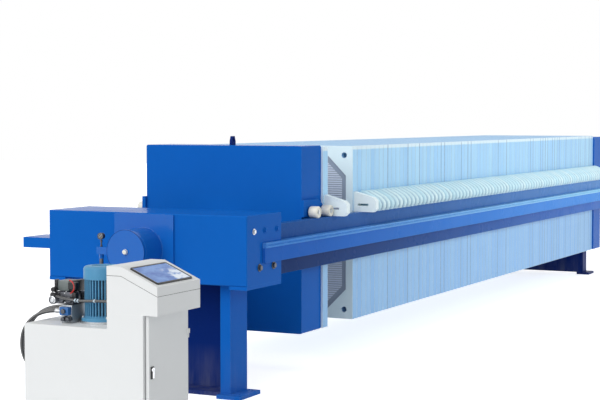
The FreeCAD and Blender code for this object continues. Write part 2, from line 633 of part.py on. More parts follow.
def console():
    """Control console: sheet body, sloped hood with the touch panel, pan-shaped door on two hinges."""
    node(box("oil_tank", ("station_x", "console_back", "0"), ("station_depth", "tank_length", "tank_height")), "oil_tank")
    shell = box("console_shell", ("station_x", "door_face", "0"),
                ("station_depth", "console_back - door_face", "hood_bottom"))
    leaves = [box("hinge_leaf_%d" % (index + 1),
                  ("station_end - door_side + hinge_radius / 4", "door_front - hinge_out", height + " - hinge_length / 2"),
                  ("hinge_radius", "door_face - door_front + hinge_out", "hinge_length / 2"))
              for index, height in enumerate(("hinge_low", "hinge_high"))]
    room = box("console_room", ("station_x + sheet_wall", "door_face + sheet_wall", "door_foot"),
               ("station_depth - 2 * sheet_wall", "console_back - door_face - 2 * sheet_wall",
                "hood_bottom - door_foot - sheet_wall"))
    doorway = box("console_doorway", ("station_x + frame_rim", "door_face", "door_foot + frame_rim"),
                  ("station_depth - 2 * frame_rim", "sheet_wall", "hood_bottom - door_foot - 2 * frame_rim"))
    inside = fused("console_inside", [room, doorway])
    node(cut("console_body", fused("console_outside", [shell] + leaves), inside), "console_body")

    hood = new_body("console_hood")
    profile = [("hood_front", "hood_bottom"), ("hood_front", "hood_nose"), ("console_back - hood_flat", "console_top"),
               ("console_back", "console_top"), ("console_back", "hood_bottom")]
    pad(hood, "shell", polygon(new_sketch(hood, "profile", "YZ_Plane"), profile), "station_depth")
    node(place(hood, x="station_x"), "console_hood")

    panel = new_body("touch_panel")
    outside = rectangle(new_sketch(panel, "outline", "XY_Plane"), ("0", "0"), ("panel_length", "panel_width"))
    pad(panel, "frame", outside, "panel_thick")
    dressed(panel, "rounded_corners", "Fillet", "panel_round", lambda middle, direction: abs(direction.z) > 0.9)
    glass = rectangle(new_sketch(panel, "glass_outline", "XY_Plane", "panel_thick"), ("panel_rim", "panel_rim"),
                      ("panel_length - panel_rim", "panel_width - panel_rim"))
    pocket(panel, "glass_recess", glass, "panel_recess")
    rise = size("console_top") - size("hood_nose")
    run = size("console_back") - size("hood_flat") - size("hood_front")
    slope = math.degrees(math.atan2(rise, run))
    panel.Placement.Rotation = FreeCAD.Rotation(vector(1, 0, 0), slope)
    node(place(panel, "panel_start", "hood_front + panel_foot * %.6f" % math.cos(math.radians(slope)),
               "hood_nose + panel_foot * %.6f" % math.sin(math.radians(slope))), "touch_panel")


def console_door():
    """Sheet door bent to a pan, with its hinge knuckles and leaves."""
    body = new_body("console_door")
    height = "hood_bottom - door_foot - 2 * door_gap"
    width = "station_depth - 2 * door_side"
    pad(body, "pan", rectangle(new_sketch(body, "outline", "XZ_Plane"), ("0", "0"), (width, height)), "door_thick")
    inside = rectangle(new_sketch(body, "inside_outline", "XZ_Plane"), ("door_rim", "door_rim"),
                       (width + " - door_rim", height + " - door_rim"))
    pocket(body, "inside", inside, "door_thick - door_sheet", backwards=True)
    for index, level in enumerate(("hinge_low", "hinge_high")):
        start = level + " - door_foot - door_gap"
        leaf = rectangle(new_sketch(body, "leaf_outline_%d" % index, "XZ_Plane", "door_thick"),
                         (width + " - 4 * hinge_radius", start), (width + " + hinge_radius / 2", start + " + hinge_length / 2"))
        pad(body, "leaf_%d" % index, leaf, "hinge_out")
        knuckle = circle(new_sketch(body, "knuckle_circle_%d" % index, "XY_Plane", start),
                         (width + " + hinge_radius", "-door_thick - hinge_out"), "hinge_radius")
        pad(body, "knuckle_%d" % index, knuckle, "hinge_length / 2")
    node(place(body, "station_x + door_side", "door_back", "door_foot + door_gap"), "console_door")
    node(box("door_lock", ("station_x + door_side + lock_size / 2", "door_front - lock_depth", "lock_height - lock_size"),
             ("lock_size", "lock_depth", "2 * lock_size")), "door_lock")


def pump_motor():
    """Upright motor on its flange, and the stepped cowl over its fan."""
    body = new_body("pump_motor")
    cowl_foot, wide = "motor_flange + motor_height", "motor_radius + cowl_step"
    turned = [("0", "0"), ("motor_flange_radius", "0"), ("motor_flange_radius", "motor_flange"),
              ("motor_radius", "motor_flange"), ("motor_radius", cowl_foot), (wide, cowl_foot),
              (wide, cowl_foot + " + cowl_height - cowl_bevel"), (wide + " - cowl_bevel", cowl_foot + " + cowl_height"),
              ("0", cowl_foot + " + cowl_height")]
    revolved(body, "turned", polygon(new_sketch(body, "turned_outline", "XZ_Plane"), turned), axis="V_Axis")
    node(place(body, "station_x + motor_ahead", "motor_y", "tank_height"), "pump_motor")


hose_starts = (40, 80, 120)
hose_levels = (56, 64, 74)
cable_points = ((-1684, -378, 142), (-1706, -436, 135), (-1713, -544, 125), (-1703, -658, 132), (-1703, -766, 132))
cable_route = [vector(x, y, size("tank_height") + above) for x, y, above in cable_points]


def valves():
    """Manifold block on the tank with three hose fittings, and the valves bolted on top of it."""
    block = box("manifold", ("block_start", "block_near", "tank_height"),
                ("block_length", "block_far - block_near", "block_height"))
    body = new_body("manifold_fittings")
    outline = new_sketch(body, "fitting_outline", "XZ_Plane", "-block_far - fitting_length")
    for along, level in zip(hose_starts, hose_levels):
        polygon(outline, hexagon(("block_start + %d" % along, "tank_height + %d" % level), "fitting_across"))
    pad(body, "fittings", outline, "fitting_length + fitting_across")
    node(fused("valve_block", [block, body]), "valve_block")

    bank = box("valve_bank", ("block_start + 10", "block_near", "block_top"),
               ("block_length - 20", "valve_far - block_near", "valve_height"))
    coils = [box("valve_coil_%d" % (index + 1), ("block_start + 30", near, "valve_top"), ("100", width, "coil_height"))
             for index, (near, width) in enumerate((("coil_near", "36"), ("coil_near + 42", "76")))]
    knob = cylinder("valve_knob", ("block_start + 10 - knob_depth", "valve_far - knob_radius", "block_top + knob_radius + 2"),
                    (1, 0, 0), "knob_radius", "knob_depth")
    plug = document.addObject("Part::Cylinder", "cable_plug")
    bind(plug, {"Radius": "cable_diameter * 0.8", "Height": "plug_length"})
    outward = (cable_route[1] - cable_route[0]).normalize()
    plug.Placement.Rotation = FreeCAD.Rotation(vector(0, 0, 1), outward)
    plug.Placement.Base = cable_route[0] - outward * size("plug_length")
    node(fused("solenoid_valves", [bank, knob, plug] + coils), "solenoid_valves")


# ---- hoses

def bent_tube(name, points, diameter):
    """Hexagonal tube along straight runs joined by tangent arcs."""
    runs = [after - before for before, after in zip(points, points[1:])]
    radii = []
    edges = []
    start = points[0]
    for index in range(1, len(points) - 1):
        arriving, leaving = runs[index - 1], runs[index]
        turn = arriving.getAngle(leaving)
        reach = 0.45 * min(arriving.Length, leaving.Length)
        radius = reach / math.tan(turn / 2)
        radii.append(round(radius))
        inward, outward = vector(arriving).normalize(), vector(leaving).normalize()
        bend_start, bend_end = points[index] - inward * reach, points[index] + outward * reach
        to_centre = (outward - inward).normalize()
        middle = points[index] + to_centre * (radius / math.cos(turn / 2) - radius)
        edges += [Part.makeLine(start, bend_start), Part.Arc(bend_start, middle, bend_end).toShape()]
        start = bend_end
    edges.append(Part.makeLine(start, points[-1]))
    path = Part.Wire(edges)
    across = vector(0, 0, 1).cross(runs[0])
    across = (across if across.Length > 1 else vector(1, 0, 0)).normalize()
    upright = vector(runs[0]).normalize().cross(across)
    corners = []
    for turn in range(0, 360, 60):
        angle = math.radians(turn)
        corners.append(points[0] + (across * math.cos(angle) + upright * math.sin(angle)) * (diameter / 2))
    section = Part.makePolygon(corners + corners[:1])
    tube = path.makePipeShell([section], True, False)
    expected = 1.5 * math.sqrt(3) * (diameter / 2) ** 2 * path.Length
    if abs(tube.Volume / expected - 1) > 0.01:
        raise RuntimeError("%s: volume %.0f, section times length %.0f" % (name, tube.Volume, expected))
    piece = document.addObject("Part::Feature", name)
    piece.Shape = tube
    print(name, "length", round(path.Length), "bend radii", radii)
    return node(piece, name)


def hoses():
    """Three hoses from the manifold over the tank's end to the cylinder, and the cable of the motor."""
    start_y = size("block_far") + size("fitting_length")
    starts = [vector(size("block_start") + along, start_y, size("tank_height") + level)
              for along, level in zip(hose_starts, hose_levels)]
    under = size("axis_height") - size("barrel_radius") - size("port_drop")
    beside = size("axis_height") - size("gauge_block") / 2 - size("port_drop")
    cap, rod, gauge = (vector(size("cap_port"), 0, under), vector(size("rod_port"), 0, under),
                       vector(size("cap_port"), size("gauge_side"), beside))
    routes = (
        ("hose_rod_end", -263, rod, 620, [(-1700, -180, 636), (-1706, -160, 512), (-1628, -150, 396),
                                          (-1470, -142, 346), (-1260, -126, 338), (-1050, -106, 346),
                                          (-845, -82, 352), (-640, -54, 366), (-430, -20, 390), (-300, -6, 470)]),
        ("hose_cap_end", -263, cap, 608, [(-1652, -172, 648), (-1658, -140, 525), (-1582, -126, 422),
                                          (-1430, -116, 382), (-1225, -100, 380), (-1015, -82, 388),
                                          (-805, -55, 398), (-600, -24, 420), (-455, -8, 470)]),
        ("hose_gauge_block", -263, gauge, 708, [(-1602, -164, 662), (-1606, -122, 540), (-1535, -104, 446),
                                                (-1392, -88, 418), (-1200, -52, 420), (-1000, -4, 430),
                                                (-800, 54, 446), (-620, 112, 480), (-470, 165, 560)]),
    )
    for start, (name, first_turn, port, last_turn, middle) in zip(starts, routes):
        points = [start, vector(start.x, first_turn, start.z)] + [vector(*point) for point in middle]
        bent_tube(name, points + [vector(port.x, port.y, last_turn), port], size("hose_diameter"))
    bent_tube("motor_cable", cable_route, size("cable_diameter"))


plate_pack()
side_beams()
hydraulic_end()
movable_head()
thrust_end()
drive_housing()
console()
console_door()
pump_motor()
valves()
hoses()
document.recompute()

for item in document.Objects:
    if "Invalid" in item.State or "Error" in item.State:
        raise RuntimeError("%s failed: %s" % (item.Name, item.State))
os.makedirs("parts", exist_ok=True)
for piece in nodes:
    if piece.Shape.isNull() or not piece.Shape.isValid():
        raise RuntimeError(piece.Label + " has no valid shape")
    piece.Shape.exportStep(os.path.join("parts", piece.Label + ".step"))
    print(piece.Label, len(piece.Shape.Solids), round(piece.Shape.Volume / 1e6, 2))
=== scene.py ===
import bmesh
import bpy
import math
from mathutils import Matrix, Vector


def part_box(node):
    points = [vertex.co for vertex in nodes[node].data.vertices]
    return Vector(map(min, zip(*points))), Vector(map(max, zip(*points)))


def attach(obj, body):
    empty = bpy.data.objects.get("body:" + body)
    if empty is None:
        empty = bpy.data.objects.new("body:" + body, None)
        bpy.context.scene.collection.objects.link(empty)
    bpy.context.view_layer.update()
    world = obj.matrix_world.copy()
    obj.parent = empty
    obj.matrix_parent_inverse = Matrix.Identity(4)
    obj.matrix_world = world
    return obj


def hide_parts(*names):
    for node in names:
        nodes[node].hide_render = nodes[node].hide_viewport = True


# Plate filter press: looks, light and camera. The press runs along X, Z is up, metres.

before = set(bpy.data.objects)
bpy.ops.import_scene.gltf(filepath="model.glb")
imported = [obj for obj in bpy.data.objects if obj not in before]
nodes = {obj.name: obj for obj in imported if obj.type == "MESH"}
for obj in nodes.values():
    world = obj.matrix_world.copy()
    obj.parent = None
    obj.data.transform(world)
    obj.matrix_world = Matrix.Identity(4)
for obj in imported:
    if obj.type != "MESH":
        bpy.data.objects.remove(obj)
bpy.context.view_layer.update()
packLow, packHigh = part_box("filter_plates")
packAxis = (packLow.z + packHigh.z) / 2
print("frame loaded,", len(nodes), "nodes")


# --- camera, light and floor

cameraSetup = {"place": (-8.247, -5.074, 1.750), "heading": (0.8963, 0.4434), "pitch": 3.16, "lens": 90.3}
lightSetup = {"skyLevel": 0.50, "keyFrom": (-0.80, 0.22, 0.62), "keyStrength": 1.90, "keyAngle": 60}
softBox = {"place": (5.6, -5.6, 2.7), "towards": (0.0, 5.6, -1.8), "length": 7.0, "height": 2.4, "power": 120,
           "colour": (0.88, 0.96, 1.0)}
floorSetup = {"half": 40, "colour": (0.80, 0.81, 0.83, 1), "glow": 0.74}


def aim(thing, towards):
    thing.rotation_euler = Vector(towards).to_track_quat("-Z", "Y").to_euler()


def put(thing):
    bpy.context.scene.collection.objects.link(thing)
    return thing


def makeCamera():
    camera = put(bpy.data.objects.new("camera", bpy.data.cameras.new("camera")))
    camera.location = cameraSetup["place"]
    across, along = cameraSetup["heading"]
    drop = math.tan(math.radians(cameraSetup["pitch"])) * math.hypot(across, along)
    aim(camera, (across, along, -drop))
    camera.data.sensor_width = 36
    camera.data.lens = cameraSetup["lens"]
    camera.data.clip_end = 200
    bpy.context.scene.camera = camera


def makeSun(name, source, strength, angle):
    lamp = bpy.data.lights.new(name, "SUN")
    lamp.energy = strength
    lamp.angle = math.radians(angle)
    sun = put(bpy.data.objects.new(name, lamp))
    aim(sun, -Vector(source))


def makeSoftBox():
    # long lamp in front of the plate pack, so that the far part of the press is the brighter one
    lamp = bpy.data.lights.new("packLamp", "AREA")
    lamp.shape = "RECTANGLE"
    lamp.size, lamp.size_y = softBox["length"], softBox["height"]
    lamp.energy = softBox["power"]
    lamp.color = softBox["colour"]
    box = put(bpy.data.objects.new("packLamp", lamp))
    box.location = softBox["place"]
    aim(box, softBox["towards"])


# --- node helpers

def place(tree, kind, inputs=None, **settings):
    node = tree.nodes.new(kind)
    for key, value in settings.items():
        setattr(node, key, value)
    for key, value in (inputs or {}).items():
        if isinstance(value, bpy.types.NodeSocket):
            tree.links.new(value, node.inputs[key])
        else:
            node.inputs[key].default_value = value
    return node


def mixed(tree, amount, first, second):
    return place(tree, "ShaderNodeMix", {0: amount, 6: first, 7: second}, data_type="RGBA").outputs[2]


def maths(tree, operation, first, second=0.0, third=0.0):
    return place(tree, "ShaderNodeMath", {0: first, 1: second, 2: third}, operation=operation).outputs[0]


def times(tree, first, *others):
    for other in others:
        first = maths(tree, "MULTIPLY", first, other)
    return first


def parted(tree, where):
    return place(tree, "ShaderNodeSeparateXYZ", {0: where})


def ranged(tree, value, low, high, toLow=0.0, toHigh=1.0):
    return place(tree, "ShaderNodeMapRange", {"Value": value, "From Min": low, "From Max": high,
                                              "To Min": toLow, "To Max": toHigh}).outputs["Result"]


def noise(tree, where, scale, detail=3.0, rough=0.55):
    texture = place(tree, "ShaderNodeTexNoise", {"Vector": where, "Scale": scale, "Detail": detail,
                                                 "Roughness": rough})
    return texture.outputs["Fac"]


def objectPlace(tree):
    return place(tree, "ShaderNodeTexCoord").outputs["Object"]


def seenByEye(tree):
    path = place(tree, "ShaderNodeLightPath")
    total = maths(tree, "ADD", path.outputs["Is Camera Ray"], path.outputs["Is Glossy Ray"])
    total = maths(tree, "ADD", total, path.outputs["Is Transmission Ray"])
    return maths(tree, "MINIMUM", total, 1.0)


def newGroup(name, inputs, outputs):
    group = bpy.data.node_groups.new(name, "ShaderNodeTree")
    for way, sockets in (("INPUT", inputs), ("OUTPUT", outputs)):
        for socket, kind in sockets.items():
            group.interface.new_socket(name=socket, in_out=way, socket_type=kind)
    return group, group.nodes.new("NodeGroupInput"), group.nodes.new("NodeGroupOutput")


decimal, colourSocket, vectorSocket = "NodeSocketFloat", "NodeSocketColor", "NodeSocketVector"


def makeEdgeWearAndSheen():
    group, given, out = newGroup("edgeWearAndSheen", {"Radius": decimal, "Amount": decimal}, {"Edge": decimal})
    rounded = place(group, "ShaderNodeBevel", {"Radius": given.outputs["Radius"]}, samples=4)
    geometry = place(group, "ShaderNodeNewGeometry")
    normals = {0: rounded.outputs["Normal"], 1: geometry.outputs["Normal"]}
    facing = place(group, "ShaderNodeVectorMath", normals, operation="DOT_PRODUCT").outputs["Value"]
    edge = ranged(group, facing, 0.995, 0.88)
    patches = ranged(group, noise(group, objectPlace(group), 22, 6, 0.7), 0.42, 0.62, 0.25, 1)
    edge = times(group, edge, patches, given.outputs["Amount"])
    group.links.new(edge, out.inputs["Edge"])
    return group


def makeMottle():
    group, given, out = newGroup("mottle", {"Colour": colourSocket, "Scale": decimal, "Spread": decimal},
                                 {"Colour": colourSocket})
    where = objectPlace(group)
    broad = noise(group, where, given.outputs["Scale"], 4, 0.6)
    dense = times(group, given.outputs["Scale"], 14.0)
    fine = place(group, "ShaderNodeTexNoise", {"Vector": where, "Scale": dense, "Detail": 5.0}).outputs["Fac"]
    level = maths(group, "ADD", times(group, broad, 0.75), times(group, fine, 0.25))
    level = times(group, maths(group, "SUBTRACT", level, 0.5), given.outputs["Spread"])
    level = maths(group, "MULTIPLY_ADD", level, 4.0, 1.0)
    scaled = place(group, "ShaderNodeVectorMath", {0: given.outputs["Colour"], 3: level}, operation="SCALE")
    group.links.new(scaled.outputs["Vector"], out.inputs["Colour"])
    return group


def makeDust():
    group, given, out = newGroup("dust", {"Top": decimal, "Amount": decimal}, {"Mask": decimal})
    where = objectPlace(group)
    height = parted(group, where).outputs["Z"]
    low = ranged(group, maths(group, "DIVIDE", height, given.outputs["Top"]), 1.0, 0.0)
    streaks = place(group, "ShaderNodeMapping", {"Vector": where, "Scale": (9, 9, 1.4)}).outputs["Vector"]
    cloud = ranged(group, noise(group, streaks, 1.0, 6, 0.65), 0.35, 0.7)
    mask = times(group, low, cloud, given.outputs["Amount"])
    group.links.new(mask, out.inputs["Mask"])
    return group


def makeGrain():
    group, given, out = newGroup("grain", {"Scale": decimal, "Height": decimal, "Depth": decimal},
                                 {"Normal": vectorSocket, "Value": decimal})
    value = place(group, "ShaderNodeTexNoise", {"Vector": objectPlace(group), "Scale": given.outputs["Scale"],
                                                "Detail": 4.0}).outputs["Fac"]
    bump = place(group, "ShaderNodeBump", {"Height": value, "Strength": given.outputs["Height"],
                                           "Distance": given.outputs["Depth"]})
    group.links.new(bump.outputs["Normal"], out.inputs["Normal"])
    group.links.new(value, out.inputs["Value"])
    return group


edgeWearAndSheen, mottle, dust, grain = makeEdgeWearAndSheen(), makeMottle(), makeDust(), makeGrain()


def toned(tree, colour, scale, spread):
    return place(tree, "ShaderNodeGroup", {"Colour": colour, "Scale": scale, "Spread": spread},
                 node_tree=mottle).outputs["Colour"]


def wornAndLitEdgeMask(tree, radius, amount):
    return place(tree, "ShaderNodeGroup", {"Radius": radius, "Amount": amount},
                 node_tree=edgeWearAndSheen).outputs["Edge"]


def grained(tree, scale, height, depth=0.002):
    return place(tree, "ShaderNodeGroup", {"Scale": scale, "Height": height, "Depth": depth}, node_tree=grain)


def startMaterial(name):
    material = bpy.data.materials.new(name)
    material.use_nodes = True
    tree = material.node_tree
    return material, tree, tree.nodes["Principled BSDF"]


def finish(tree, shader, settings, links):
    for socket, value in settings.items():
        shader.inputs[socket].default_value = value
    for socket, value in links.items():
        tree.links.new(value, shader.inputs[socket])


dustTone = (0.32, 0.31, 0.29, 1)


def paint(name, colour, worn, roughness=0.24, spread=0.06, edge=0.5, radius=0.004, dusty=0.25,
          dustTop=0.6, peel=90, peelHeight=0.10, coat=0.0, ior=1.08, foot=None, away=None):
    # sprayed enamel: orange peel, slightly uneven tone, rubbed edges that also carry a painted highlight,
    # dust low down; where asked, a painted sheen towards the far end and a painted shadow at the foot
    material, tree, shader = startMaterial(name)
    base = toned(tree, colour, 1.3, spread)
    wornAndLitEdge = wornAndLitEdgeMask(tree, radius, edge)
    dirt = place(tree, "ShaderNodeGroup", {"Top": dustTop, "Amount": dusty}, node_tree=dust).outputs["Mask"]
    split = parted(tree, objectPlace(tree))
    # painted sheen: towards the far end of the press the away colour takes over
    farSheenShare = ranged(tree, split.outputs["X"], 0.5, packHigh.x, 0, 0.8)
    if away:
        base = mixed(tree, farSheenShare, base, away)
    # painted shadow: below the foot level the colour turns darker
    if foot:
        low = mixed(tree, farSheenShare, foot["colour"], foot["away"])
        shadowBelow = ranged(tree, split.outputs["Z"], foot["level"] + 0.003, foot["level"] - 0.003)
        base = mixed(tree, shadowBelow, base, low)
    base = mixed(tree, wornAndLitEdge, base, worn)
    base = mixed(tree, dirt, base, dustTone)
    skin = grained(tree, peel, peelHeight)
    cloud = noise(tree, objectPlace(tree), 3.0, 5)
    cloudy = ranged(tree, cloud, 0.3, 0.75, roughness * 0.75, roughness * 1.35)
    rough = maths(tree, "MULTIPLY_ADD", dirt, 0.5, maths(tree, "MULTIPLY_ADD", wornAndLitEdge, 0.15, cloudy))
    finish(tree, shader, {"IOR": ior, "Coat Weight": coat, "Coat Roughness": 0.12},
           {"Base Color": base, "Roughness": rough, "Normal": skin.outputs["Normal"]})
    return material


def plastic(name, colour, shade, roughness, spread=0.05, peel=140, peelHeight=0.12, edge=0.3, specular=0.4):
    # moulded or machined polypropylene: soft tone, faint cloud, scuffed corners
    material, tree, shader = startMaterial(name)
    base = mixed(tree, wornAndLitEdgeMask(tree, 0.003, edge), toned(tree, colour, 2.2, spread), shade)
    skin = grained(tree, peel, peelHeight)
    rough = ranged(tree, skin.outputs["Value"], 0.3, 0.7, roughness * 0.85, roughness * 1.15)
    finish(tree, shader, {"Specular IOR Level": specular},
           {"Base Color": base, "Roughness": rough, "Normal": skin.outputs["Normal"]})
    return material


def metal(name, colour, roughness, spread, metallic=1.0):
    # bare or plated steel with machining marks
    material, tree, shader = startMaterial(name)
    skin = grained(tree, 180, 0.08, 0.001)
    rough = ranged(tree, skin.outputs["Value"], 0.3, 0.7, roughness * 0.7, roughness * 1.4)
    finish(tree, shader, {"Metallic": metallic},
           {"Base Color": toned(tree, colour, 6, spread), "Roughness": rough,
            "Normal": skin.outputs["Normal"]})
    return material


print("node groups ready")


# --- finishes

paints = {
    "bluePaint": dict(
        colour=(0.006, 0.120, 0.50, 1), worn=(0.05, 0.25, 0.66, 1), roughness=0.20, edge=0.45, dusty=0.12,
        dustTop=0.35, spread=0.05),
    "barrelPaint": dict(
        colour=(0.006, 0.125, 0.51, 1), worn=(0.05, 0.25, 0.66, 1), roughness=0.20, edge=0.45, dusty=0.0,
        spread=0.05, coat=0.5),
    # beam, guard and rail: the away colours are a painted sheen towards the far end of the press
    "beamPaint": dict(
        colour=(0.018, 0.094, 0.33, 1), worn=(0.08, 0.24, 0.52, 1), roughness=0.26, edge=0.5, radius=0.006,
        dusty=0.0, spread=0.08,
        # the foot is a painted shadow under the chain guard
        foot={"level": 0.842, "colour": (0.006, 0.036, 0.155, 1), "away": (0.035, 0.19, 0.66, 1)},
        away=(0.13, 0.34, 0.72, 1)),
    "guardPaint": dict(
        colour=(0.014, 0.125, 0.52, 1), worn=(0.10, 0.28, 0.68, 1), roughness=0.26, edge=0.5, radius=0.005,
        dusty=0.0, spread=0.06, away=(0.07, 0.34, 0.88, 1)),
    "railPaint": dict(
        colour=(0.060, 0.250, 0.68, 1), worn=(0.30, 0.54, 0.88, 1), roughness=0.30, edge=0.8, dusty=0.0,
        spread=0.08, away=(0.46, 0.84, 1.0, 1)),
    # darker copy of the blue paint, used as painted shade on the parts that stand in shadow
    "shadedBluePaint": dict(
        colour=(0.003, 0.022, 0.16, 1), worn=(0.03, 0.09, 0.30, 1), roughness=0.30, edge=0.4, dusty=0.30,
        dustTop=0.30),
    "cabinetPaint": dict(
        colour=(0.77, 0.785, 0.785, 1), worn=(0.88, 0.88, 0.86, 1), roughness=0.36, edge=0.35, radius=0.003,
        dusty=0.22, dustTop=0.30, spread=0.015, peel=420, peelHeight=0.16),
    # darker copy of the motor paint for the core: painted shade between the fins
    "motorCoreShade": dict(
        colour=(0.012, 0.060, 0.110, 1), worn=(0.06, 0.18, 0.26, 1), roughness=0.34, edge=0.5, radius=0.002,
        dusty=0.12, dustTop=1.6, spread=0.10, peel=260, ior=1.3),
    "cowlPaint": dict(
        colour=(0.075, 0.270, 0.460, 1), worn=(0.30, 0.50, 0.62, 1), roughness=0.34, edge=0.5, radius=0.003,
        dusty=0.10, dustTop=1.6, spread=0.08, peel=260, ior=1.3),
}
plastics = {
    "eyeletPlastic": dict(
        colour=(0.66, 0.82, 0.93, 1), shade=(0.86, 0.92, 0.97, 1), roughness=0.34, spread=0.06, edge=0.5),
    "coilGrey": dict(
        colour=(0.150, 0.175, 0.175, 1), shade=(0.30, 0.32, 0.32, 1), roughness=0.35, spread=0.08),
    "creamNylon": dict(colour=(0.82, 0.80, 0.70, 1), shade=(0.92, 0.91, 0.84, 1), roughness=0.30),
    "blackPlastic": dict(
        colour=(0.012, 0.012, 0.014, 1), shade=(0.05, 0.05, 0.05, 1), roughness=0.35, edge=0.6, peel=400),
    "redPlastic": dict(colour=(0.50, 0.020, 0.016, 1), shade=(0.62, 0.10, 0.08, 1), roughness=0.35),
    "hoseRubber": dict(
        colour=(0.020, 0.021, 0.023, 1), shade=(0.05, 0.05, 0.05, 1), roughness=0.26, spread=0.2, peel=900,
        peelHeight=0.25, edge=0.0, specular=1.0),
    "blockBlue": dict(colour=(0.020, 0.12, 0.36, 1), shade=(0.10, 0.24, 0.46, 1), roughness=0.35),
}
metals = {
    "chrome": dict(colour=(0.80, 0.81, 0.83, 1), roughness=0.12, spread=0.03),
    "zincSteel": dict(colour=(0.56, 0.58, 0.60, 1), roughness=0.32, spread=0.08),
    "valveSteel": dict(colour=(0.36, 0.39, 0.42, 1), roughness=0.42, spread=0.10, metallic=0.7),
    "darkSteel": dict(colour=(0.10, 0.105, 0.12, 1), roughness=0.42, spread=0.12, metallic=0.8),
}
finishes = {}
for make, table in ((paint, paints), (plastic, plastics), (metal, metals)):
    for name, values in table.items():
        finishes[name] = make(name, **values)


plateTone = {"pitch": 0.080, "dark": (0.36, 0.65, 0.93, 1), "light": (0.45, 0.74, 0.95, 1),
             "line": (0.09, 0.21, 0.42, 1), "stain": (0.22, 0.42, 0.72, 1), "low": (0.13, 0.32, 0.70, 1),
             "top": (0.27, 0.52, 0.80, 1), "face": (0.74, 0.90, 0.97, 1), "wornAndLitEdge": (0.86, 0.95, 0.99, 1),
             "crown": (0.84, 0.95, 0.97, 1), "shadedWall": (0.30, 0.36, 0.46, 1), "rib": (0.62, 0.70, 0.84, 1),
             "furrowShade": (0.22, 0.26, 0.34, 1)}
recess = {"half": 0.534, "wallHalf": 0.571, "reach": 0.925, "wallReach": 0.982, "ribPitch": 0.016}
handleTone = {"dark": (0.56, 0.80, 0.88, 1), "light": (0.70, 0.88, 0.91, 1), "gapShade": (0.14, 0.28, 0.46, 1)}


def plateCount(tree, where):
    # at any point: the number of its plate, how far along the pitch it lies, and the plate's own chance value
    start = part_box("front_filter_plate")[0].x
    count = maths(tree, "DIVIDE", maths(tree, "SUBTRACT", parted(tree, where).outputs["X"], start),
                  plateTone["pitch"])
    number = maths(tree, "FLOOR", maths(tree, "ADD", count, 0.0125))
    chance = place(tree, "ShaderNodeTexWhiteNoise", {"W": number}, noise_dimensions="1D").outputs["Value"]
    return number, maths(tree, "SUBTRACT", count, number), chance


def gapShadeLines(tree, number, share, chance):
    # painted shade in the gaps of the pack: a thin line at each plate's edges, at some plates a broad one
    seed = maths(tree, "ADD", number, 71.3)
    other = place(tree, "ShaderNodeTexWhiteNoise", {"W": seed}, noise_dimensions="1D")
    strong = ranged(tree, other.outputs["Value"], 0.66, 0.70)
    wide = maths(tree, "MULTIPLY_ADD", strong, 0.13, 0.05)
    line = maths(tree, "SUBTRACT", 1.0, ranged(tree, share, times(tree, wide, 0.6), wide))
    faint = ranged(tree, chance, 0, 1, 0.2, 0.4)
    return times(tree, line, maths(tree, "MULTIPLY_ADD", strong, 0.45, faint))


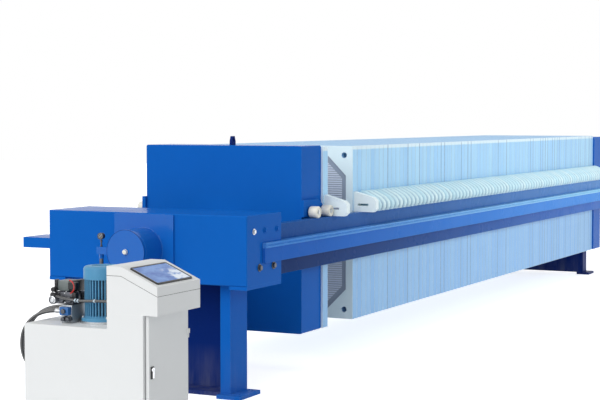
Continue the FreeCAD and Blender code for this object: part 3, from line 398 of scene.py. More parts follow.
def plateFinish():
    # pressed polypropylene: plates of slightly different tone, painted shade in the gaps, grey ribbed chamber
    # faces
    material, tree, shader = startMaterial("platePlastic")
    where = objectPlace(tree)
    split = parted(tree, where)
    number, share, chance = plateCount(tree, where)
    line = gapShadeLines(tree, number, share, chance)
    own = mixed(tree, chance, plateTone["dark"], plateTone["light"])
    streaks = place(tree, "ShaderNodeMapping", {"Vector": where, "Scale": (46, 14, 0.6)}).outputs["Vector"]
    stain = ranged(tree, noise(tree, streaks, 1.0, 6, 0.7), 0.45, 0.80, 0, 0.45)
    base = mixed(tree, stain, toned(tree, own, 3.1, 0.05), plateTone["stain"])
    # painted shade: darker towards the bottom of the plates
    base = mixed(tree, ranged(tree, split.outputs["Z"], 0.95, 0.60, 0, 0.42), base, plateTone["low"])
    facing = parted(tree, place(tree, "ShaderNodeNewGeometry").outputs["True Normal"])
    flat = ranged(tree, maths(tree, "ABSOLUTE", facing.outputs["X"]), 0.85, 0.95)
    upward = ranged(tree, facing.outputs["Z"], 0.85, 0.95)
    # painted highlight: a pale band just under the top of the pack
    base = mixed(tree, ranged(tree, split.outputs["Z"], packHigh.z - 0.030, packHigh.z - 0.022, 0, 0.8), base,
                 plateTone["crown"])
    # painted shade on the upward faces, painted light on the X-facing faces
    base = mixed(tree, upward, base, plateTone["top"])
    base = mixed(tree, flat, base, plateTone["face"])
    base = mixed(tree, times(tree, line, maths(tree, "SUBTRACT", 1.0, flat)), base, plateTone["line"])
    # painted highlight on the rounded edges of the plates
    base = mixed(tree, wornAndLitEdgeMask(tree, 0.008, 0.8), base, plateTone["wornAndLitEdge"])
    side = maths(tree, "ABSOLUTE", split.outputs["Y"])
    grip = ranged(tree, side, packHigh.y + 0.002, packHigh.y + 0.010)
    base = mixed(tree, grip, base, plateTone["crown"])
    # octagon of the chamber: flat floor inside, sloped wall round it; painted shade on the wall and the
    # floor's rim, ribs lighter and painted shade in the furrows
    level = maths(tree, "ABSOLUTE", maths(tree, "SUBTRACT", split.outputs["Z"], packAxis))
    far = maths(tree, "MAXIMUM", side, level)
    both = maths(tree, "ADD", side, level)
    floor = times(tree, maths(tree, "LESS_THAN", far, recess["half"]),
                  maths(tree, "LESS_THAN", both, recess["reach"]))
    shadedWall = times(tree, maths(tree, "LESS_THAN", far, recess["wallHalf"]),
                 maths(tree, "LESS_THAN", both, recess["wallReach"]))
    rib = maths(tree, "SINE", times(tree, split.outputs["Z"], 2 * math.pi / recess["ribPitch"]))
    ribbed = mixed(tree, ranged(tree, rib, 0.2, -1, 0, 0.7), plateTone["rib"], plateTone["furrowShade"])
    base = mixed(tree, shadedWall, base, plateTone["shadedWall"])
    base = mixed(tree, floor, base, ribbed)
    skin = grained(tree, 120, 0.15)
    ribs = place(tree, "ShaderNodeBump", {"Height": times(tree, rib, floor), "Strength": 0.6,
                                          "Distance": 0.002, "Normal": skin.outputs["Normal"]})
    rough = ranged(tree, skin.outputs["Value"], 0.3, 0.7, 0.36, 0.56)
    finish(tree, shader, {"Specular IOR Level": 0.30},
           {"Base Color": base, "Roughness": rough, "Normal": ribs.outputs["Normal"]})
    return material


def handleFinish():
    # moulded grips: pale crowns, painted shade on the side that faces the next gap
    material, tree, shader = startMaterial("handlePlastic")
    share, chance = plateCount(tree, objectPlace(tree))[1:]
    gapShadeMask = times(tree, ranged(tree, share, 0.30, 0.10), ranged(tree, chance, 0, 1, 0.45, 0.95))
    own = mixed(tree, chance, handleTone["dark"], handleTone["light"])
    base = mixed(tree, gapShadeMask, toned(tree, own, 5.0, 0.06), handleTone["gapShade"])
    skin = grained(tree, 150, 0.12)
    rough = ranged(tree, skin.outputs["Value"], 0.3, 0.7, 0.30, 0.40)
    finish(tree, shader, {"Specular IOR Level": 0.4},
           {"Base Color": base, "Roughness": rough, "Normal": skin.outputs["Normal"]})
    return material


finishes["platePlastic"] = plateFinish()
finishes["handlePlastic"] = handleFinish()

nodeFinish = {
    "barrelPaint": ["hydraulic_cylinder"],
    "bluePaint": ["cylinder_seat", "head_end_legs", "head_end_feet", "thrust_plate",
                  "movable_head", "drive_housing", "roller_brackets"],
    "beamPaint": ["main_beam_near", "main_beam_far"],
    "guardPaint": ["chain_guards"],
    "railPaint": ["shifter_rails"],
    "shadedBluePaint": ["head_end_web", "lifting_eye", "thrust_stand", "thrust_feet"],
    "platePlastic": ["front_filter_plate", "head_filter_plate", "filter_plates"],
    "handlePlastic": ["plate_handles_near", "plate_handles_far"],
    "creamNylon": ["roller_near_1", "roller_near_2", "roller_far_1", "roller_far_2"],
    "chrome": ["piston_rod", "door_lock"],
    "cabinetPaint": ["oil_tank", "console_body", "console_hood", "console_door"],
    "blackPlastic": ["touch_panel"],
    "motorCoreShade": ["pump_motor"],
    "valveSteel": ["valve_block", "pressure_gauge"],
    "darkSteel": ["solenoid_valves"],
}


def dressNodes():
    for name, members in nodeFinish.items():
        for member in members:
            nodes[member].data.materials.clear()
            nodes[member].data.materials.append(finishes[name])


dressNodes()
print("finishes on", sum(len(m) for m in nodeFinish.values()), "nodes")


# --- hoses and cable

cordRoutes = {
    "hose_rod_end": [
        (-1.640, -.390, .714), (-1.640, -.263, .714), (-1.700, -.180, .636), (-1.706, -.160, .512),
        (-1.628, -.150, .396), (-1.470, -.142, .346), (-1.260, -.126, .338), (-1.050, -.106, .346),
        (-.845, -.082, .352), (-.640, -.054, .366), (-.430, -.020, .390), (-.300, -.006, .470),
        (-.262, 0, .620), (-.262, 0, .752)],
    "hose_cap_end": [
        (-1.600, -.390, .722), (-1.600, -.263, .722), (-1.652, -.172, .648), (-1.658, -.140, .525),
        (-1.582, -.126, .422), (-1.430, -.116, .382), (-1.225, -.100, .380), (-1.015, -.082, .388),
        (-.805, -.055, .398), (-.600, -.024, .420), (-.455, -.008, .470), (-.395, 0, .608),
        (-.395, 0, .752)],
    "hose_gauge_block": [
        (-1.560, -.390, .732), (-1.560, -.263, .732), (-1.602, -.164, .662), (-1.606, -.122, .540),
        (-1.535, -.104, .446), (-1.392, -.088, .418), (-1.200, -.052, .420), (-1.000, -.004, .430),
        (-.800, .054, .446), (-.620, .112, .480), (-.470, .165, .560), (-.395, .195, .708),
        (-.395, .195, .867)],
    "motor_cable": [
        (-1.684, -.378, .800), (-1.706, -.436, .793), (-1.713, -.544, .783), (-1.703, -.658, .790),
        (-1.703, -.766, .790)],
}
hoseFacts = {"diameter": 0.018, "stiffness": "stiff"}
cordFacts = {
    "hose_rod_end": {"name": "rodEndHose", "length": 2.145, **hoseFacts},
    "hose_cap_end": {"name": "capEndHose", "length": 1.924, **hoseFacts},
    "hose_gauge_block": {"name": "gaugeBlockHose", "length": 1.931, **hoseFacts},
    "motor_cable": {"name": "motorCable", "length": 0.393, "diameter": 0.016, "stiffness": "medium"},
}


def makeCord(node):
    facts = cordFacts[node]
    curve = bpy.data.curves.new(facts["name"], "CURVE")
    curve.dimensions = "3D"
    line = curve.splines.new("NURBS")
    route = cordRoutes[node]
    line.points.add(len(route) - 1)
    for point, (x, y, z) in zip(line.points, route):
        point.co = (x, y, z, 1)
    line.order_u = 3
    line.use_endpoint_u = True
    line.resolution_u = 10
    curve.bevel_depth = facts["diameter"] / 2
    curve.bevel_resolution = 4
    curve.use_fill_caps = True
    curve.materials.append(finishes["hoseRubber"])
    cord = put(bpy.data.objects.new(facts["name"], curve))
    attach(cord, "frame")
    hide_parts(node)
    return cord


cords = {node: makeCord(node) for node in cordRoutes}
print("cords", len(cords))


# --- mesh helpers

origin = (0, 0, 0)
upward, forward, rearward = (0, 0, 1), (1, 0, 0), (-1, 0, 0)


def shift(shape, verts, way):
    bmesh.ops.translate(shape, vec=way, verts=verts)


def turnBy(shape, verts, angle, axis):
    bmesh.ops.rotate(shape, cent=origin, matrix=Matrix.Rotation(angle, 3, axis), verts=verts)


def standOn(shape, verts, axis, base):
    # what was made upright at the origin is laid along axis and moved to its base
    lean = Vector(axis).to_track_quat("Z", "Y").to_matrix()
    bmesh.ops.rotate(shape, cent=origin, matrix=lean, verts=verts)
    shift(shape, verts, base)


def edgesOf(verts):
    return list({edge for vert in verts for edge in vert.link_edges})


def soften(shape, edges, offset, steps):
    return bmesh.ops.bevel(shape, geom=edges, offset=offset, affect="EDGES", segments=steps, profile=0.5,
                           material=-1)["verts"]


def spinRound(shape, verts, edges, steps):
    # one full turn about Z; gives back every vertex of the body it makes
    before = set(shape.verts)
    bmesh.ops.spin(shape, geom=verts + edges, cent=origin, axis=upward, angle=2 * math.pi, steps=steps,
                   use_merge=True)
    return list((set(shape.verts) - before) | {vert for vert in verts if vert.is_valid})


def addBox(shape, low, high, bevel=0.0, steps=2):
    made = bmesh.ops.create_cube(shape, size=1)["verts"]
    low, high = Vector(low), Vector(high)
    bmesh.ops.scale(shape, vec=high - low, verts=made)
    shift(shape, made, (low + high) / 2)
    if bevel:
        soften(shape, edgesOf(made), bevel, steps)
    return made


def addDrum(shape, base, axis, radius, length, sides=32, tip=None, bevel=0.0, steps=2):
    # a round or many-sided bar from its base along axis
    made = bmesh.ops.create_cone(shape, cap_ends=True, segments=sides, radius1=radius,
                                 radius2=radius if tip is None else tip, depth=length)["verts"]
    if bevel:
        rims = [edge for edge in edgesOf(made) if abs(edge.verts[0].co.z - edge.verts[1].co.z) < 1e-6]
        grown = soften(shape, rims, bevel, steps)
        made = list({vert for vert in made if vert.is_valid} | set(grown))
    shift(shape, made, (0, 0, length / 2))
    standOn(shape, made, axis, base)


def addRing(shape, centre, axis, radius, thick, around, across):
    # a round-section ring: a small circle spun about the axis
    made = bmesh.ops.create_circle(shape, cap_ends=False, segments=across, radius=thick)["verts"]
    turnBy(shape, made, math.pi / 2, "X")
    shift(shape, made, (radius, 0, 0))
    standOn(shape, spinRound(shape, made, edgesOf(made), around), axis, centre)


def addTurned(shape, profile, base, axis=upward, steps=48):
    # a lathe profile of (radius, height) pairs, spun about the axis
    rim = [shape.verts.new((radius, 0, height)) for radius, height in profile]
    edges = [shape.edges.new(pair) for pair in zip(rim, rim[1:])]
    whole = spinRound(shape, rim, edges, steps)
    bmesh.ops.remove_doubles(shape, verts=whole, dist=1e-5)
    standOn(shape, [vert for vert in whole if vert.is_valid], axis, base)


def addPrism(shape, corners, start, end, bevel=0.0, steps=3):
    # a flat outline of (y, z) pairs, extruded along X
    face = shape.faces.new([shape.verts.new((start, *pair)) for pair in corners])
    grown = bmesh.ops.extrude_face_region(shape, geom=[face])["geom"]
    raised = [item for item in grown if isinstance(item, bmesh.types.BMVert)]
    shift(shape, raised, (end - start, 0, 0))
    if bevel:
        soften(shape, edgesOf(list(face.verts) + raised), bevel, steps)


def addBolt(shape, spot, axis, across, height, washer):
    # hexagon head on its washer
    axis = Vector(axis)
    under = across * 0.16
    addDrum(shape, spot, axis, washer, under, 24, bevel=across * 0.03, steps=1)
    addDrum(shape, Vector(spot) + axis * under, axis, across * 0.577, height, 6, bevel=height * 0.12, steps=1)


def paintNew(shape, before, slot):
    # gives what was added since before its own finish
    fresh = set(shape.verts) - before
    for face in shape.faces:
        if all(vert in fresh for vert in face.verts):
            face.material_index = slot
    return before | fresh


def keep(name, shape, finishNames, body, stands=(), smooth=35):
    bmesh.ops.recalc_face_normals(shape, faces=shape.faces[:])
    mesh = bpy.data.meshes.new(name)
    shape.to_mesh(mesh)
    shape.free()
    for finishName in finishNames:
        mesh.materials.append(finishes[finishName])
    mesh.shade_smooth()
    mesh.set_sharp_from_angle(angle=math.radians(smooth))
    piece = put(bpy.data.objects.new(name, mesh))
    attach(piece, body)
    if stands:
        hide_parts(*stands)
    return piece


# --- plate handles: one moulded lug, repeated along each side

handleShape = {"pitch": 0.080, "count": 79, "root": 0.150, "tip": 0.104, "round": 0.026, "toe": 0.022,
               "brow": 0.036, "shoulder": 0.050}


def makeHandleRow(side, node, name):
    low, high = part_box(node)
    pitch, count = handleShape["pitch"], handleShape["count"]
    toe, brow = handleShape["toe"], handleShape["brow"]
    inner, outer = (low.y, high.y) if side > 0 else (high.y, low.y)
    foot, crown, top = low.z, low.z + handleShape["tip"], low.z + handleShape["root"]
    corners = [(inner, foot), (outer - side * toe, foot), (outer, foot + toe), (outer, crown - brow),
               (outer - side * brow, crown), (inner + side * handleShape["shoulder"], top), (inner, top)]
    shape = bmesh.new()
    addPrism(shape, corners, low.x, high.x - pitch * (count - 1), handleShape["round"])
    lug = shape.verts[:] + shape.edges[:] + shape.faces[:]
    for index in range(1, count):
        copy = bmesh.ops.duplicate(shape, geom=lug)["geom"]
        moved = [item for item in copy if isinstance(item, bmesh.types.BMVert)]
        shift(shape, moved, (index * pitch, 0, 0))
    keep(name, shape, ["handlePlastic"], "frame", [node], smooth=50)


makeHandleRow(-1, "plate_handles_near", "handleRowNear")
makeHandleRow(1, "plate_handles_far", "handleRowFar")
print("handles")


# --- eyelets round the corner ports of the two open plates

eyelet = {"radius": 0.0235, "thick": 0.0035, "inset": 0.068}


def makeEyelets(body, name, faceX, inward):
    # let into the face, so that the two plates can meet
    rimX = faceX + inward * eyelet["thick"]
    inset = eyelet["inset"]
    shape = bmesh.new()
    for y in (packLow.y + inset, packHigh.y - inset):
        for z in (packLow.z + inset, packHigh.z - inset):
            addRing(shape, (rimX, y, z), forward, eyelet["radius"], eyelet["thick"], 28, 8)
    keep(name, shape, ["eyeletPlastic"], body)


makeEyelets("frame", "frontPlateEyelets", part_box("front_filter_plate")[0].x, 1)
makeEyelets("head", "headPlateEyelets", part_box("head_filter_plate")[1].x, -1)


# --- carrier rollers

rollerShape = {"round": 0.007, "hub": 0.027, "dish": 0.005, "axle": 0.014, "length": 0.068,
               "carrierFace": 0.6102, "bolt": 0.019, "boltHead": 0.0045, "washer": 0.016}


def makeRoller(node):
    low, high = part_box(node)
    side = -1 if low.y < 0 else 1
    outer = low.y if side < 0 else high.y
    centre = (low + high) / 2
    radius = (high.x - low.x) / 2
    length, axle = rollerShape["length"], rollerShape["axle"]
    corner, hub, dish = rollerShape["round"], rollerShape["hub"], rollerShape["dish"]
    profile = [(axle, 0.0), (hub, 0.0), (hub + 0.002, 0.002), (radius - corner, 0.002),
               (radius - 0.002, 0.004), (radius, corner + 0.001), (radius, length - corner),
               (radius - 0.002, length - 0.003), (radius - corner, length), (hub + 0.004, length),
               (hub, length - dish), (0.0, length - dish)]
    shape = bmesh.new()
    inner = outer - side * length
    addTurned(shape, profile, (centre.x, inner, centre.z), (0, side, 0), 40)
    before = set(shape.verts)
    addDrum(shape, (centre.x, inner + side * 0.004, centre.z), (0, -side, 0), axle,
            abs(inner) - rollerShape["carrierFace"] + 0.004, 24)
    addBolt(shape, (centre.x, inner + side * (length - dish), centre.z), (0, side, 0), rollerShape["bolt"],
            rollerShape["boltHead"], rollerShape["washer"])
    paintNew(shape, before, 1)
    keep(node.replace("_", "") + "Detail", shape, ["creamNylon", "zincSteel"], node, [node])


for rollerNode in ("roller_near_1", "roller_near_2", "roller_far_1", "roller_far_2"):
    makeRoller(rollerNode)
print("rollers")


# --- pump motor: ribbed frame, smooth cowl, flange with bolts

motorShape = {"body": 0.098, "fins": 36, "finDeep": 0.016, "finThick": 0.0062, "cowl": 0.103, "plate": 0.122,
              "boltCircle": 0.106}


def makeMotor():
    low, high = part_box("pump_motor")
    centre = Vector(((low.x + high.x) / 2, (low.y + high.y) / 2, low.z))
    tall = high.z - low.z
    body = motorShape["body"]
    core = body - motorShape["finDeep"]
    shape = bmesh.new()
    flange = (high.x - low.x) / 2
    # the core between the fins takes the darker paint of slot 0: painted shade in the fin gaps
    addTurned(shape, [(core, 0.036), (core, tall - 0.060), (body - 0.004, tall - 0.056)], centre)
    before = set(shape.verts)
    addTurned(shape, [(flange - 0.004, 0.012), (flange, 0.014), (flange, 0.028), (flange - 0.003, 0.031),
                      (body + 0.004, 0.032), (body - 0.004, 0.040), (core, 0.044)], centre)
    for index in range(motorShape["fins"]):
        fin = addBox(shape, (core - 0.004, -motorShape["finThick"] / 2, 0.034),
                     (body, motorShape["finThick"] / 2, tall - 0.058))
        turnBy(shape, fin, 2 * math.pi * index / motorShape["fins"], "Z")
        shift(shape, fin, centre)
    wide = motorShape["cowl"]
    addTurned(shape, [(body - 0.003, tall - 0.072), (wide, tall - 0.071), (wide, tall - 0.016),
                      (wide - 0.003, tall - 0.008), (wide - 0.012, tall - 0.002), (wide - 0.030, tall),
                      (0.060, tall), (0.058, tall - 0.004), (0.0, tall - 0.004)], centre)
    # the guard over the fan
    for radius in (0.012, 0.024, 0.036, 0.048):
        addRing(shape, centre + Vector((0, 0, tall - 0.0025)), upward, radius, 0.0016, 32, 6)
    before = paintNew(shape, before, 2)
    for index in range(4):
        turn = math.radians(45 + 90 * index)
        way = Vector((math.cos(turn), math.sin(turn), 0)) * motorShape["boltCircle"]
        addBolt(shape, centre + way + Vector((0, 0, 0.030)), upward, 0.013, 0.008, washer=0.0095)
    addTurned(shape, [(0.0, 0.0), (motorShape["plate"], 0.0), (motorShape["plate"], 0.011),
                      (motorShape["plate"] - 0.003, 0.014), (0.100, 0.014)], centre)
    paintNew(shape, before, 1)
    keep("pumpMotorDetail", shape, ["motorCoreShade", "zincSteel", "cowlPaint"], "frame",
         ["pump_motor"])


makeMotor()
print("motor")


# --- manifold and valves

hoses = ("hose_rod_end", "hose_cap_end", "hose_gauge_block")
manifold = {"back": -0.410, "screws": (-0.462, -0.430), "plugs": (-0.470, -0.440)}
valveBank = {"front": -1.670, "back": -1.510, "near": -0.470, "far": -0.352, "foot": 0.754, "top": 0.824,
             "spools": 0.789}
knobShape = {"ridges": 24, "ridgeCircle": 0.0222,
             "profile": [(0.0, 0.027), (0.013, 0.027), (0.016, 0.025), (0.0215, 0.023), (0.0225, 0.020),
                         (0.0225, 0.006), (0.020, 0.003), (0.0, 0.003)]}
strap = {"thick": 0.0042, "radius": 0.036, "start": 100, "sweep": 150}


def makeManifold():
    low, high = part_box("valve_block")
    shape = bmesh.new()
    far = manifold["back"]
    addBox(shape, (low.x, low.y, low.z), (high.x, far, high.z), 0.003)
    before = set(shape.verts)
    for x, z in ((cordRoutes[hose][0][0], cordRoutes[hose][0][2]) for hose in hoses):
        addDrum(shape, (x, far - 0.002, z), (0, 1, 0), 0.0165, 0.012, 6, bevel=0.001)
        addDrum(shape, (x, far + 0.008, z), (0, 1, 0), 0.011, 0.006, 20)
        addDrum(shape, (x, far + 0.013, z), (0, 1, 0), 0.0150, 0.007, 6, bevel=0.001)
    for y in manifold["screws"]:
        for z in (low.z + 0.014, high.z - 0.014):
            addDrum(shape, (low.x + 0.001, y, z), rearward, 0.0065, 0.006, 16, bevel=0.001)
    before = paintNew(shape, before, 1)
    addBox(shape, (low.x - 0.030, -0.474, low.z + 0.044), (low.x + 0.002, -0.418, low.z + 0.088), 0.003)
    before = paintNew(shape, before, 2)
    addDrum(shape, (low.x - 0.030, -0.446, low.z + 0.066), rearward, 0.014, 0.012, 6, bevel=0.001)
    for y in manifold["plugs"]:
        addDrum(shape, (low.x - 0.016, y, low.z + 0.024), rearward, 0.011, 0.020, 20, bevel=0.002)
        addDrum(shape, (low.x + 0.001, y, low.z + 0.024), rearward, 0.014, 0.018, 6, bevel=0.001)
    paintNew(shape, before, 3)
    keep("manifoldDetail", shape, ["valveSteel", "zincSteel", "blockBlue", "darkSteel"], "frame",
         ["valve_block"])


def addStrap(shape, spot):
    # the loop by the coil: a round rod bent through part of a turn
    before = set(shape.verts)
    rod = bmesh.ops.create_circle(shape, cap_ends=True, segments=10, radius=strap["thick"])["verts"]
    turnBy(shape, rod, math.pi / 2, "X")
    shift(shape, rod, (strap["radius"], 0, 0))
    disc = list({face for vert in rod for face in vert.link_faces})
    bmesh.ops.spin(shape, geom=disc, cent=origin, axis=upward, angle=math.radians(strap["sweep"]), steps=18)
    loop = list(set(shape.verts) - before)
    turnBy(shape, loop, math.radians(strap["start"]) + math.pi / 2, "Z")
    turnBy(shape, loop, math.pi / 2, "Y")
    shift(shape, loop, spot)


def makeValves():
    front, back, near, far, foot, top, spools = valveBank.values()
    shape = bmesh.new()
    # two spool valves side by side, each a casting with end caps and screws
    addBox(shape, (front + 0.014, near, foot), (front + 0.074, far, top - 0.004), 0.006)
    addBox(shape, (front + 0.084, near, foot), (back, far, top - 0.004), 0.006)
    for x in (front + 0.044, front + 0.122):
        addDrum(shape, (x, far - 0.002, spools), (0, 1, 0), 0.026, 0.014, 32, bevel=0.003)
        addDrum(shape, (x, near + 0.002, spools), (0, -1, 0), 0.026, 0.010, 32, bevel=0.003)
    addDrum(shape, (front + 0.016, -0.400, 0.782), rearward, 0.020, 0.020, 32, bevel=0.003)
    addDrum(shape, (front + 0.016, -0.448, 0.780), rearward, 0.017, 0.016, 32, bevel=0.003)
    before = set(shape.verts)
    for x in (front + 0.024, front + 0.064, front + 0.094, front + 0.150):
        for y in (-0.462, -0.420, -0.360):
            addDrum(shape, (x, y, top - 0.005), upward, 0.0045, 0.005, 12)
    for y, z in ((-0.418, 0.812), (-0.418, 0.764), (-0.378, 0.812), (-0.378, 0.764), (-0.464, 0.812)):
        addDrum(shape, (front + 0.015, y, z), rearward, 0.0042, 0.004, 12)
    # chromed adjusting knob with a knurled rim, and its lock ring
    knob = Vector((front, -0.362, 0.778))
    addDrum(shape, knob + Vector((0.016, 0, 0)), rearward, 0.012, 0.018, 24)
    addTurned(shape, knobShape["profile"], knob, rearward, 40)
    for index in range(knobShape["ridges"]):
        turn = 2 * math.pi * index / knobShape["ridges"]
        way = Vector((0, math.cos(turn), math.sin(turn))) * knobShape["ridgeCircle"]
        addDrum(shape, knob + way - Vector((0.006, 0, 0)), rearward, 0.0014, 0.014, 6)
    paintNew(shape, before, 1)
    addRing(shape, knob + Vector((-0.0265, 0, 0)), forward, 0.0135, 0.0016, 28, 6)
    addRing(shape, knob + Vector((-0.0240, 0, 0)), forward, 0.0215, 0.0014, 28, 6)
    before = set(shape.verts)
    # coil with its plug, the dark connectors by the motor, the small knob at the end
    addBox(shape, (front + 0.022, -0.436, top), (front + 0.122, -0.362, 0.878), 0.004)
    before = paintNew(shape, before, 2)
    addBox(shape, (front + 0.022, -0.476, top), (front + 0.122, -0.444, 0.882), 0.005)
    addBox(shape, (front - 0.004, -0.498, 0.836), (front + 0.030, -0.448, 0.876), 0.005)
    addBox(shape, (front - 0.008, -0.500, 0.770), (front + 0.024, -0.474, 0.822), 0.005)
    addDrum(shape, (front + 0.012, -0.357, 0.832), rearward, 0.013, 0.026, 24, bevel=0.003)
    addDrum(shape, (front + 0.012, -0.357, 0.815), upward, 0.006, 0.024, 16)
    addBox(shape, (front + 0.014, -0.366, 0.824), (front + 0.040, -0.348, 0.884), 0.004)
    start, second = (Vector(point) for point in cordRoutes["motor_cable"][:2])
    away = (start - second).normalized()
    addDrum(shape, start - away * 0.002, away, 0.012, 0.036, 24, tip=0.014)
    before = paintNew(shape, before, 3)
    addStrap(shape, (front - 0.002, -0.452, 0.850))
    paintNew(shape, before, 4)
    keep("valveBankDetail", shape, ["darkSteel", "zincSteel", "coilGrey", "blackPlastic", "redPlastic"],
         "frame", ["solenoid_valves"])


makeManifold()
makeValves()
print("valves")


# --- fittings on the hose ends and ties on the cable

# the profile's points are shares of the radius and of the length
ferruleShape = {"radius": 0.0125, "length": 0.046,
                "profile": ((0.55, 0), (1, 0.022), (1.02, 0.10), (0.93, 0.14), (1, 0.20), (1, 0.48),
                            (0.93, 0.54), (1, 0.60), (1, 0.94), (0.9, 1), (0.7, 1))}


def makeFerrule(name, spot, axis, material):
    radius, length = ferruleShape["radius"], ferruleShape["length"]
    profile = [(radius * wide, length * along) for wide, along in ferruleShape["profile"]]
    shape = bmesh.new()
    addTurned(shape, profile, spot, axis, 28)
    return keep(name, shape, [material], "frame")


for hose in hoses:
    start, end = Vector(cordRoutes[hose][0]), Vector(cordRoutes[hose][-1])
    base = cordFacts[hose]["name"]
    first = makeFerrule(base + "StartFerrule", start - Vector((0, 0.001, 0)), (0, 1, 0), "zincSteel")
    last = makeFerrule(base + "EndFerrule", end + Vector((0, 0, 0.001)), (0, 0, -1), "darkSteel")


tieProfile = [(0.0078, -0.003), (0.0098, -0.0025), (0.0098, 0.0025), (0.0078, 0.003)]


def makeTies():
    curve = cords["motor_cable"].data.copy()
    curve.bevel_depth = 0
    line = bpy.data.objects.new("cableLine", curve)
    path = [vert.co.copy() for vert in bpy.data.meshes.new_from_object(line).vertices]
    bpy.data.objects.remove(line)
    made = []
    for share, name in ((0.46, "cableTieA"), (0.50, "cableTieB"), (0.79, "cableTieC")):
        at = int(share * (len(path) - 1))
        along = (path[at + 1] - path[at]).normalized()
        shape = bmesh.new()
        addTurned(shape, tieProfile, path[at], along, 20)
        head = path[at] - Vector((0.0115, 0, 0))
        half = Vector((0.003, 0.003, 0.003))
        addBox(shape, head - half, head + half, 0.001, 1)
        made.append(keep(name, shape, ["eyeletPlastic"], "frame"))
    return made


ties = makeTies()
print("fittings")


# --- pressure gauge and the cylinder's plug

dial = {"radius": 0.021, "tickFrom": 0.0125, "tickTo": 0.0155, "sweep": 2.3, "ticks": 24, "needle": 0.0011,
        "dark": (0.025, 0.027, 0.030, 1), "pale": (0.60, 0.62, 0.64, 1)}


def dialFinish():
    # dark dial with plain pale ticks round its upper three quarters, and a needle
    material, tree, shader = startMaterial("dialFace")
    low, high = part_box("pressure_gauge")
    split = parted(tree, objectPlace(tree))
    across = maths(tree, "SUBTRACT", split.outputs["Y"], (low.y + high.y) / 2)
    up = maths(tree, "SUBTRACT", split.outputs["Z"], high.z - dial["radius"])
    reach = maths(tree, "SQRT", maths(tree, "ADD", times(tree, across, across), times(tree, up, up)))
    turn = maths(tree, "ARCTAN2", across, up)
    tick = maths(tree, "GREATER_THAN", maths(tree, "COSINE", times(tree, turn, dial["ticks"])), 0.75)
    within = maths(tree, "LESS_THAN", reach, dial["tickTo"])
    band = times(tree, maths(tree, "GREATER_THAN", reach, dial["tickFrom"]), within)
    mask = times(tree, tick, band, maths(tree, "LESS_THAN", maths(tree, "ABSOLUTE", turn), dial["sweep"]))
    off = maths(tree, "ABSOLUTE", maths(tree, "ADD", across, times(tree, up, 0.9)))
    inside = maths(tree, "LESS_THAN", reach, dial["tickFrom"])
    needle = times(tree, maths(tree, "LESS_THAN", off, dial["needle"]), inside)
    mask = maths(tree, "MAXIMUM", mask, needle)
    finish(tree, shader, {"Roughness": 0.12, "Coat Weight": 1.0, "Coat Roughness": 0.03},
           {"Base Color": mixed(tree, mask, dial["dark"], dial["pale"])})
    return material


finishes["dialFace"] = dialFinish()


def makeGauge():
    low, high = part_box("pressure_gauge")
    centre = Vector((high.x, (low.y + high.y) / 2, high.z - dial["radius"]))
    deep = high.x - low.x
    shape = bmesh.new()
    addTurned(shape, [(0.0, 0.0), (0.018, 0.0), (0.020, 0.002), (0.020, deep - 0.006)], centre, rearward, 40)
    before = set(shape.verts)
    addTurned(shape, [(0.0198, deep - 0.008), (0.0210, deep - 0.007), (0.0210, deep - 0.001), (0.0195, deep),
                      (0.0180, deep - 0.002)], centre, rearward, 40)
    stem = Vector((centre.x - deep / 2, centre.y, low.z))
    addDrum(shape, stem, upward, 0.0085, 0.010, 6, bevel=0.001)
    addDrum(shape, stem, upward, 0.0050, centre.z - low.z - 0.015, 20)
    addDrum(shape, stem + Vector((0, 0, 0.028)), upward, 0.0080, 0.012, 6, bevel=0.001)
    before = paintNew(shape, before, 1)
    addDrum(shape, centre + Vector((-deep + 0.004, 0, 0)), rearward, 0.0185, 0.001, 40)
    paintNew(shape, before, 2)
    keep("gaugeDetail", shape, ["blackPlastic", "darkSteel", "dialFace"], "frame",
         ["pressure_gauge"])


cylinderTrim = {"cap": 0.014, "plug": ((0.0, 0.0155), (0.010, 0.0155), (0.0165, 0.013), (0.0172, 0.001)),
                "plateFace": -0.2125}


def makeCylinderTrim():
    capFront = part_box("hydraulic_cylinder")[0].x + cylinderTrim["cap"]
    shape = bmesh.new()
    addTurned(shape, cylinderTrim["plug"], (capFront, 0, packAxis), rearward, 32)
    keep("cylinderPlug", shape, ["creamNylon"], "frame")
    shape = bmesh.new()
    # weld behind the cap, weld to the plate, then a painted shadow line at the cap's rim
    addRing(shape, (capFront + 0.025, 0, packAxis), forward, 0.1368, 0.0016, 64, 8)
    addRing(shape, (cylinderTrim["plateFace"], 0, packAxis), forward, 0.139, 0.004, 64, 8)
    before = set(shape.verts)
    addRing(shape, (capFront + 0.0005, 0, packAxis), forward, 0.1362, 0.0014, 64, 6)
    paintNew(shape, before, 1)
    keep("cylinderWeldsAndRimShadow", shape, ["barrelPaint", "shadedBluePaint"], "frame")


makeGauge()
makeCylinderTrim()


# --- bolts on the sides of the seat, both hands alike

seatBolts = {"face": 0.732, "upper": ((-0.109, 1.045), (0.037, 1.045), (0.201, 1.045)),
             "lower": ((-0.037, 0.817), (0.151, 0.817))}


def makeSeatBolts():
    shape = bmesh.new()
    for side in (-1, 1):
        for x, z in seatBolts["upper"]:
            before = set(shape.verts)
            addBolt(shape, (x, side * seatBolts["face"], z), (0, side, 0), 0.024, 0.008, washer=0.020)
            # the rear one is bare, the two others are painted
            paintNew(shape, before, 0 if x < 0 else 1)
    keep("seatBolts", shape, ["zincSteel", "bluePaint"], "frame")
    shape = bmesh.new()
    for side in (-1, 1):
        for x, z in seatBolts["lower"]:
            addBolt(shape, (x, side * seatBolts["face"], z), (0, side, 0), 0.030, 0.012, washer=0.024)
    keep("seatTongueBolts", shape, ["darkSteel"], "frame")


makeSeatBolts()
print("hydraulic end")


# --- control console: hood seam, glass panel and the lock of the door

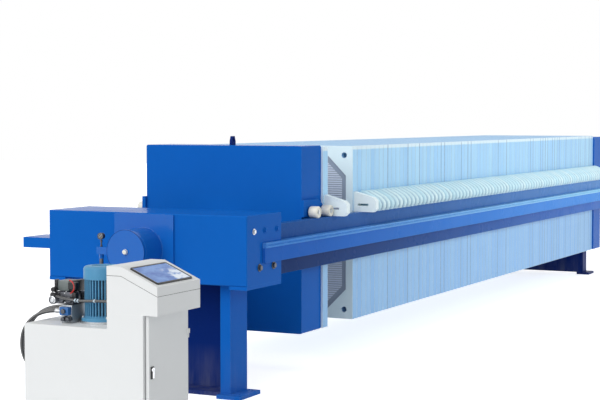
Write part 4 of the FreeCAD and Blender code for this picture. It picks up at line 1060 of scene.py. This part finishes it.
consoleTrim = {"seamLevel": 0.840, "seam": 0.0010, "proud": 0.0005, "nose": 0.889, "flat": 0.087}
panelTone = {"page": (0.030, 0.12, 0.44, 1), "cloud": (0.14, 0.30, 0.66, 1), "lit": (0.72, 0.80, 0.90, 1),
             "rim": (0.60, 0.68, 0.78, 1)}
panelShape = {"length": 0.186, "half": 0.004, "corner": 0.014, "round": 0.002, "frame": 0.007, "sunk": 0.002}


def makeHoodSeam():
    low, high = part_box("console_hood")
    proud, seam = consoleTrim["proud"], consoleTrim["seam"]
    level = consoleTrim["seamLevel"]
    slopeEnd = high.y - consoleTrim["flat"]
    rear = high.z - (consoleTrim["nose"] - level)
    shape = bmesh.new()
    addBox(shape, (low.x + 0.002, low.y - proud, level - seam), (high.x - 0.002, low.y + 0.001, level + seam))
    for x, out in ((low.x, -1), (high.x, 1)):
        corners = [(low.y, level - seam), (slopeEnd, rear - seam), (high.y, rear - seam),
                   (high.y, rear + seam), (slopeEnd, rear + seam), (low.y, level + seam)]
        addPrism(shape, corners, x - out * 0.001, x + out * proud)
    keep("hoodSeam", shape, ["blackPlastic"], "frame")


def glassFinish():
    # dark glass with a pale lit page and soft window light in it
    material, tree, shader = startMaterial("panelGlass")
    low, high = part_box("touch_panel")
    wide, deep = high.x - low.x, high.y - low.y
    fitted = {"Vector": objectPlace(tree), "Location": (-low.x / wide, -low.y / deep, 0),
              "Scale": (1 / wide, 1 / deep, 1)}
    where = place(tree, "ShaderNodeMapping", fitted).outputs["Vector"]
    split = parted(tree, where)
    along, across = split.outputs["X"], split.outputs["Y"]
    cloud = ranged(tree, noise(tree, where, 3.2, 4, 0.6), 0.35, 0.65)
    page = mixed(tree, cloud, panelTone["page"], panelTone["cloud"])
    edge = maths(tree, "MINIMUM", maths(tree, "MINIMUM", along, maths(tree, "SUBTRACT", 1.0, along)),
                 maths(tree, "MINIMUM", across, maths(tree, "SUBTRACT", 1.0, across)))
    patch = times(tree, ranged(tree, along, 0.52, 0.66), ranged(tree, across, 0.72, 0.50),
                  ranged(tree, noise(tree, where, 5.0, 3), 0.40, 0.55))
    shown = mixed(tree, patch, page, panelTone["lit"])
    shown = mixed(tree, ranged(tree, edge, 0.02, 0.06), panelTone["rim"], shown)
    finish(tree, shader, {"Roughness": 0.06, "Specular IOR Level": 0.25, "Emission Strength": 0.12},
           {"Base Color": shown, "Emission Color": shown})
    return material


finishes["panelGlass"] = glassFinish()


def highest(shape):
    return max(shape.faces, key=lambda face: (round(face.calc_center_median().z, 5), face.calc_area()))


def makePanel():
    # frame with a rounded outline, inset and sunk where the glass lies, then tipped to the hood's slope
    low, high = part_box("touch_panel")
    hoodLow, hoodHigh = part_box("console_hood")
    run = hoodHigh.y - consoleTrim["flat"] - hoodLow.y
    slope = math.atan((hoodHigh.z - consoleTrim["nose"]) / run)
    half = Vector(((high.x - low.x) / 2, panelShape["length"] / 2, panelShape["half"]))
    shape = bmesh.new()
    upright = [edge for edge in edgesOf(addBox(shape, -half, half))
               if abs(edge.verts[0].co.z - edge.verts[1].co.z) > panelShape["half"]]
    soften(shape, upright, panelShape["corner"], 5)
    soften(shape, list(highest(shape).edges), panelShape["round"], 2)
    top = highest(shape)
    for width, depth in ((panelShape["frame"], 0), (0.0012, -panelShape["sunk"])):
        bmesh.ops.inset_region(shape, faces=[top], thickness=width, depth=depth, use_even_offset=True)
    top.material_index = 1
    turnBy(shape, shape.verts, slope, "X")
    shift(shape, shape.verts, (low + high) / 2)
    keep("touchPanelDetail", shape, ["blackPlastic", "panelGlass"], "frame", ["touch_panel"])


def makeDoorTrim():
    # black seat, chromed swing handle with a key barrel
    low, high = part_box("door_lock")
    centre = Vector(((low.x + high.x) / 2, high.y, (low.z + high.z) / 2))
    shape = bmesh.new()

    def plate(wide, back, front, bottom, top, bevel):
        addBox(shape, centre + Vector((-wide, back, bottom)), centre + Vector((wide, front, top)), bevel)

    plate(0.015, -0.0045, 0.0005, -0.034, 0.030, 0.002)
    before = set(shape.verts)
    addDrum(shape, centre + Vector((0, -0.003, 0.014)), (0, -1, 0), 0.0115, 0.007, 32, bevel=0.0015)
    plate(0.0065, -0.0115, -0.0055, -0.030, 0.010, 0.002)
    paintNew(shape, before, 1)
    plate(0.0012, -0.0105, -0.0098, 0.010, 0.018, 0)
    keep("doorLockDetail", shape, ["blackPlastic", "chrome"], "door", ["door_lock"])


makeHoodSeam()
makePanel()
makeDoorTrim()
print("console")


# --- room

def makeFloor():
    sheet = bmesh.new()
    bmesh.ops.create_grid(sheet, x_segments=2, y_segments=2, size=floorSetup["half"])
    mesh = bpy.data.meshes.new("floor")
    sheet.to_mesh(mesh)
    sheet.free()
    floor = put(bpy.data.objects.new("floor", mesh))
    material, tree, shader = startMaterial("floorPaper")
    where = objectPlace(tree)
    base = mixed(tree, ranged(tree, noise(tree, where, 1.5, 4), 0.3, 0.7, 0, 0.15), floorSetup["colour"],
                 (0.78, 0.79, 0.81, 1))
    glow = times(tree, seenByEye(tree), floorSetup["glow"])
    finish(tree, shader, {"Roughness": 0.7, "Specular IOR Level": 0.15, "Emission Color": (1, 1, 1, 1)},
           {"Base Color": base, "Emission Strength": glow})
    mesh.materials.append(material)


def makeSky():
    world = bpy.data.worlds.new("studio")
    bpy.context.scene.world = world
    world.use_nodes = True
    tree = world.node_tree
    background = tree.nodes["Background"]
    background.inputs["Color"].default_value = (1, 1, 1, 1)
    level = ranged(tree, seenByEye(tree), 0, 1, lightSetup["skyLevel"], 1.0)
    tree.links.new(level, background.inputs["Strength"])


makeCamera()
makeSky()
makeFloor()
makeSun("keyLamp", lightSetup["keyFrom"], lightSetup["keyStrength"], lightSetup["keyAngle"])
makeSoftBox()
bpy.context.scene.view_settings.view_transform = "Standard"
